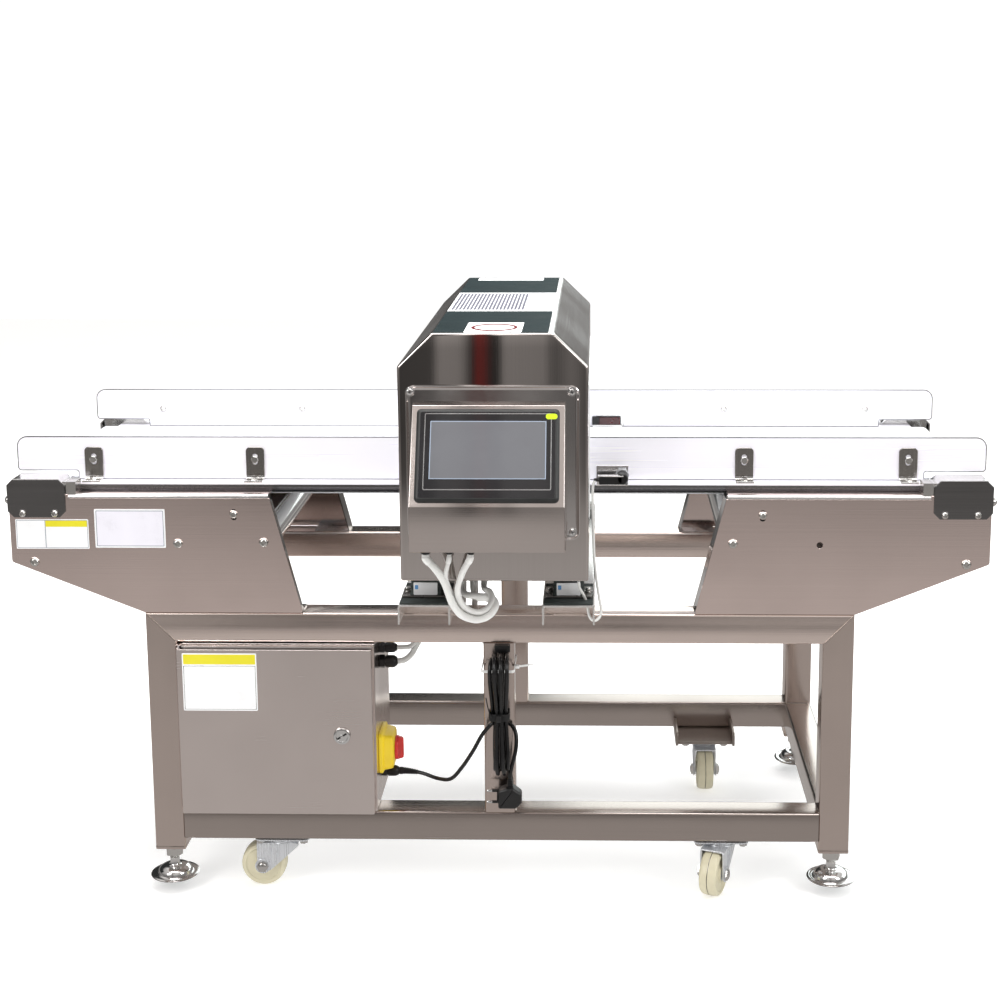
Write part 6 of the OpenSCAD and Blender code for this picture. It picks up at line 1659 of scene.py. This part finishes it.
def cable_tie(p, outline, z0, z1, mat, head, head_size, outward, tail=None):
    """Toothed strap round an outline, with its ratchet head and a cut-off or trailing end."""
    n = 160
    q = resample(outline, n)
    wall = inset(q, 1.2)
    tooth = inset(q, np.where(np.arange(n) % 2 == 0, 0.0, 0.28)[:, None])
    edge = inset(q, 0.3)
    m = (z1 - z0) * 0.18
    around = ((q, z0 + 0.2), (q, z0 + m), (tooth, z0 + m + 0.1), (tooth, z1 - m - 0.1), (q, z1 - m),
              (q, z1 - 0.2), (edge, z1), (wall, z1), (wall, z0), (edge, z0), (q, z0 + 0.2))
    p.add(rings([lifted(line, z, "Z") for line, z in around], False, False), mat)
    x, y = head
    w, d, h = head_size
    zc = (z0 + z1) / 2
    p.add(rbox([x - w / 2, y - d / 2, zc - h / 2], [x + w / 2, y + d / 2, zc + h / 2], 1.0, 3), mat)
    face = y + outward * d / 2
    window = rbox([x - w * 0.22, face - 0.4, zc - h * 0.28], [x + w * 0.22, face + 0.25, zc + h * 0.28], 0.2)
    p.add(window, mat)
    if tail is not None:
        path = even(spline(tail, 8), 1.6)
        k = 0.75 + 0.12 * (np.arange(len(path)) % 2)
        t = np.gradient(path, axis=0)
        t /= np.linalg.norm(t, axis=1, keepdims=True)
        side = np.cross(t, [0, 0, 1.0])
        side /= np.linalg.norm(side, axis=1, keepdims=True)
        half = (z1 - z0) * 0.36
        taper = np.clip((len(path) - np.arange(len(path))) / 8.0, 0.25, 1.0)
        ring = [np.array([path[i] + side[i] * k[i] * u + np.array([0, 0, half * taper[i] * v])
                          for u, v in ((-1, -1), (1, -1), (1, 1), (-1, 1))]) for i in range(len(path))]
        p.add(rings(ring), mat)


def make_ties():
    """Cable ties: a black band at the hank's waist, a stick-on pad, and a white band on the post."""
    p = Piece()
    # Half width and half depth of the hank's waist
    wx, wy = 14.744, 14.6
    x, y, z = HANK_MID
    line = rounded(rectangle(x - wx - 2, x + wx + 2, y - wy - 1.6, y + wy + 1.6), 6, 8)
    cable_tie(p, line, z - 6, z + 6, 0, (x, y - wy - 5.2), (8.0, 6.4, 11.0), -1)
    p.add(rbox([-6.25, -6.0, 418.2], [18.75, 0.0, 429.9], 1.4, 3), 0)
    p.add(rbox([-3.0, -7.0, 421.0], [15.0, -5.8, 427.2], 0.5, 2), 0)
    end = even(spline([[-9, -44, 322], [-13, -45, 331], [-16, -45, 343], [-18.5, -44, 356]], 8), 1.6)
    p.add(tube(end, 0.9, 8), 0)
    post = rounded(rectangle(-27, 27, -29.5, 52), 5, 8)
    tail = [[27, -4, 394.5], [33, -3, 394.6], [39, -2.2, 395.0], [46, -1.2, 395.8], [53, -0.6, 396.6],
            [59, 0.2, 397.2]]
    cable_tie(p, post, 392.2, 396.8, 1, (30.4, -4.2), (6.6, 7.6, 5.0), -1, tail)
    p.done("cable_ties", ["black", "tie_white"], slot="black_plastic", replaces=("cord_ties",))


make_cables()
make_channels()
make_isolators()
make_sensor()
make_ties()


# Studio


def make_studio():
    """White sweep that the camera sees as white, and a softer grey room for the metal to reflect."""
    world = bpy.data.worlds.new("studio")
    bpy.context.scene.world = world
    world.use_nodes = True
    world.node_tree.nodes.clear()
    n = Nodes(world.node_tree)

    def ramp_of(value, stops, tint=(1.0, 1.0, 1.0)):
        """Ramp whose stops are brightnesses in one tint, or colours of their own."""
        return n.ramp(value, [(at, v if isinstance(v, tuple) else tuple(v * c for c in tint)) for at,
                              v in stops])

    sep = n.node("ShaderNodeSeparateXYZ", {"Vector": n.node("ShaderNodeTexCoord").outputs["Generated"]})
    level = n.math("MULTIPLY_ADD", sep.outputs["Z"], 0.5, 0.5)
    across = n.math("MULTIPLY_ADD", sep.outputs["X"], 1.0, 0.5)
    # Brightness from the floor up to the ceiling
    height = ramp_of(level, (
        (0.0, 0.50), (0.350, 0.50), (0.366, 0.44), (0.376, 0.36), (0.388, 0.27), (0.402, 0.20), (0.427, 0.21),
        (0.433, 0.42), (0.442, 0.46), (0.49, 0.26), (0.515, 0.26), (0.60, 0.40), (0.72, 0.62), (1.0, 0.95),
    ), (1.0, 0.955, 0.92))
    # Curtains of the room, from left to right: pale panels with darker gaps, one with a red strip
    red = (0.75, 0.13, 0.12)
    panels = ramp_of(across, (
        (0.0, 0.75), (0.12, 1.15), (0.20, 0.90), (0.26, 1.15), (0.30, 0.45), (0.378, 0.30), (0.4025, 0.34),
        (0.4035, 1.30), (0.4215, 1.20), (0.4225, 0.16), (0.4287, 0.15), (0.4292, red), (0.4334, red),
        (0.4339, 0.16), (0.4430, 0.15), (0.4442, 1.25), (0.4710, 1.15), (0.4735, 0.40), (0.486, 0.95),
        (0.494, 0.45), (0.530, 0.50), (0.575, 1.15), (0.66, 0.80), (0.76, 1.05), (1.0, 0.8),
    ))
    # The floor in front of the room is even, so the panels only show above it
    above = n.mix(ramp_of(level, ((0.376, 0.0), (0.388, 1.0))), (1, 1, 1), panels)
    near = n.mix(1.0, height, above, "MULTIPLY")
    # Far end of the room, which the level faces mirror: dark on the left and bright on the right
    behind = n.math("GREATER_THAN", sep.outputs["Y"], 0.0)
    window = ramp_of(level, ((0.55, 0.0), (0.575, 1.0), (0.78, 1.0), (0.84, 0.0)))
    wall = ramp_of(across, ((0.0, 0.030), (0.462, 0.035), (0.480, 2.1), (1.0, 2.1)), (0.94, 1.0, 0.98))
    mirrored_room = n.mix(n.math("MULTIPLY", behind, window), near, wall)
    room = n.node("ShaderNodeBackground", {"Color": mirrored_room, "Strength": 0.95})
    white = n.node("ShaderNodeBackground", {"Color": (1, 1, 1), "Strength": 1.05})
    seen = n.node("ShaderNodeLightPath").outputs["Is Camera Ray"]
    pick = n.node("ShaderNodeMixShader", {0: seen, 1: room.outputs[0], 2: white.outputs[0]})
    n.node("ShaderNodeOutputWorld", {"Surface": pick.outputs[0]})

    me = bpy.data.meshes.new("floor")
    me.from_pydata([(-6, -1.5, 0), (6, -1.5, 0), (6, 7, 0), (-6, 7, 0)], [], [(0, 1, 2, 3)])
    floor = bpy.data.objects.new("floor", me)
    s = Shader("floor")
    tone = s.noise(s.coords(), 3.0, 3.0, 0.5)
    s.put("Base Color", s.ramp(tone, [(0.3, (0.73, 0.73, 0.73)), (0.7, (0.75, 0.75, 0.75))]))
    s.put("Roughness", 0.75)
    s.put("Emission Color", (1.0, 1.0, 1.0))
    s.put("Emission Strength", 0.48)
    me.materials.append(s.mat)
    bpy.context.scene.collection.objects.link(floor)
    floor.visible_glossy = False

    def area(name, at, target, size, power, tint=(1, 1, 1)):
        """Soft lamp that looks at a target."""
        data = bpy.data.lights.new(name, "AREA")
        data.shape = "RECTANGLE"
        data.size, data.size_y = size
        data.energy = power
        data.color = tint
        obj = bpy.data.objects.new(name, data)
        obj.location = at
        obj.rotation_euler = (Vector(target) - Vector(at)).to_track_quat("-Z", "Y").to_euler()
        obj.visible_glossy = name != "back"
        bpy.context.scene.collection.objects.link(obj)

    area("key_left", (-2.2, -2.4, 2.3), (0, 0, 0.5), (1.0, 2.0), 45, (1.0, 0.99, 0.98))
    area("key_right", (2.6, -2.0, 2.1), (0, 0, 0.5), (1.0, 1.8), 34)
    area("top", (0, 0.1, 3.2), (0, 0, 0.6), (3.2, 2.2), 120)
    area("back", (0, 2.8, 2.2), (0, 0, 0.7), (3.0, 1.2), 60)


make_studio()
bpy.context.scene.view_settings.view_transform = "Standard"
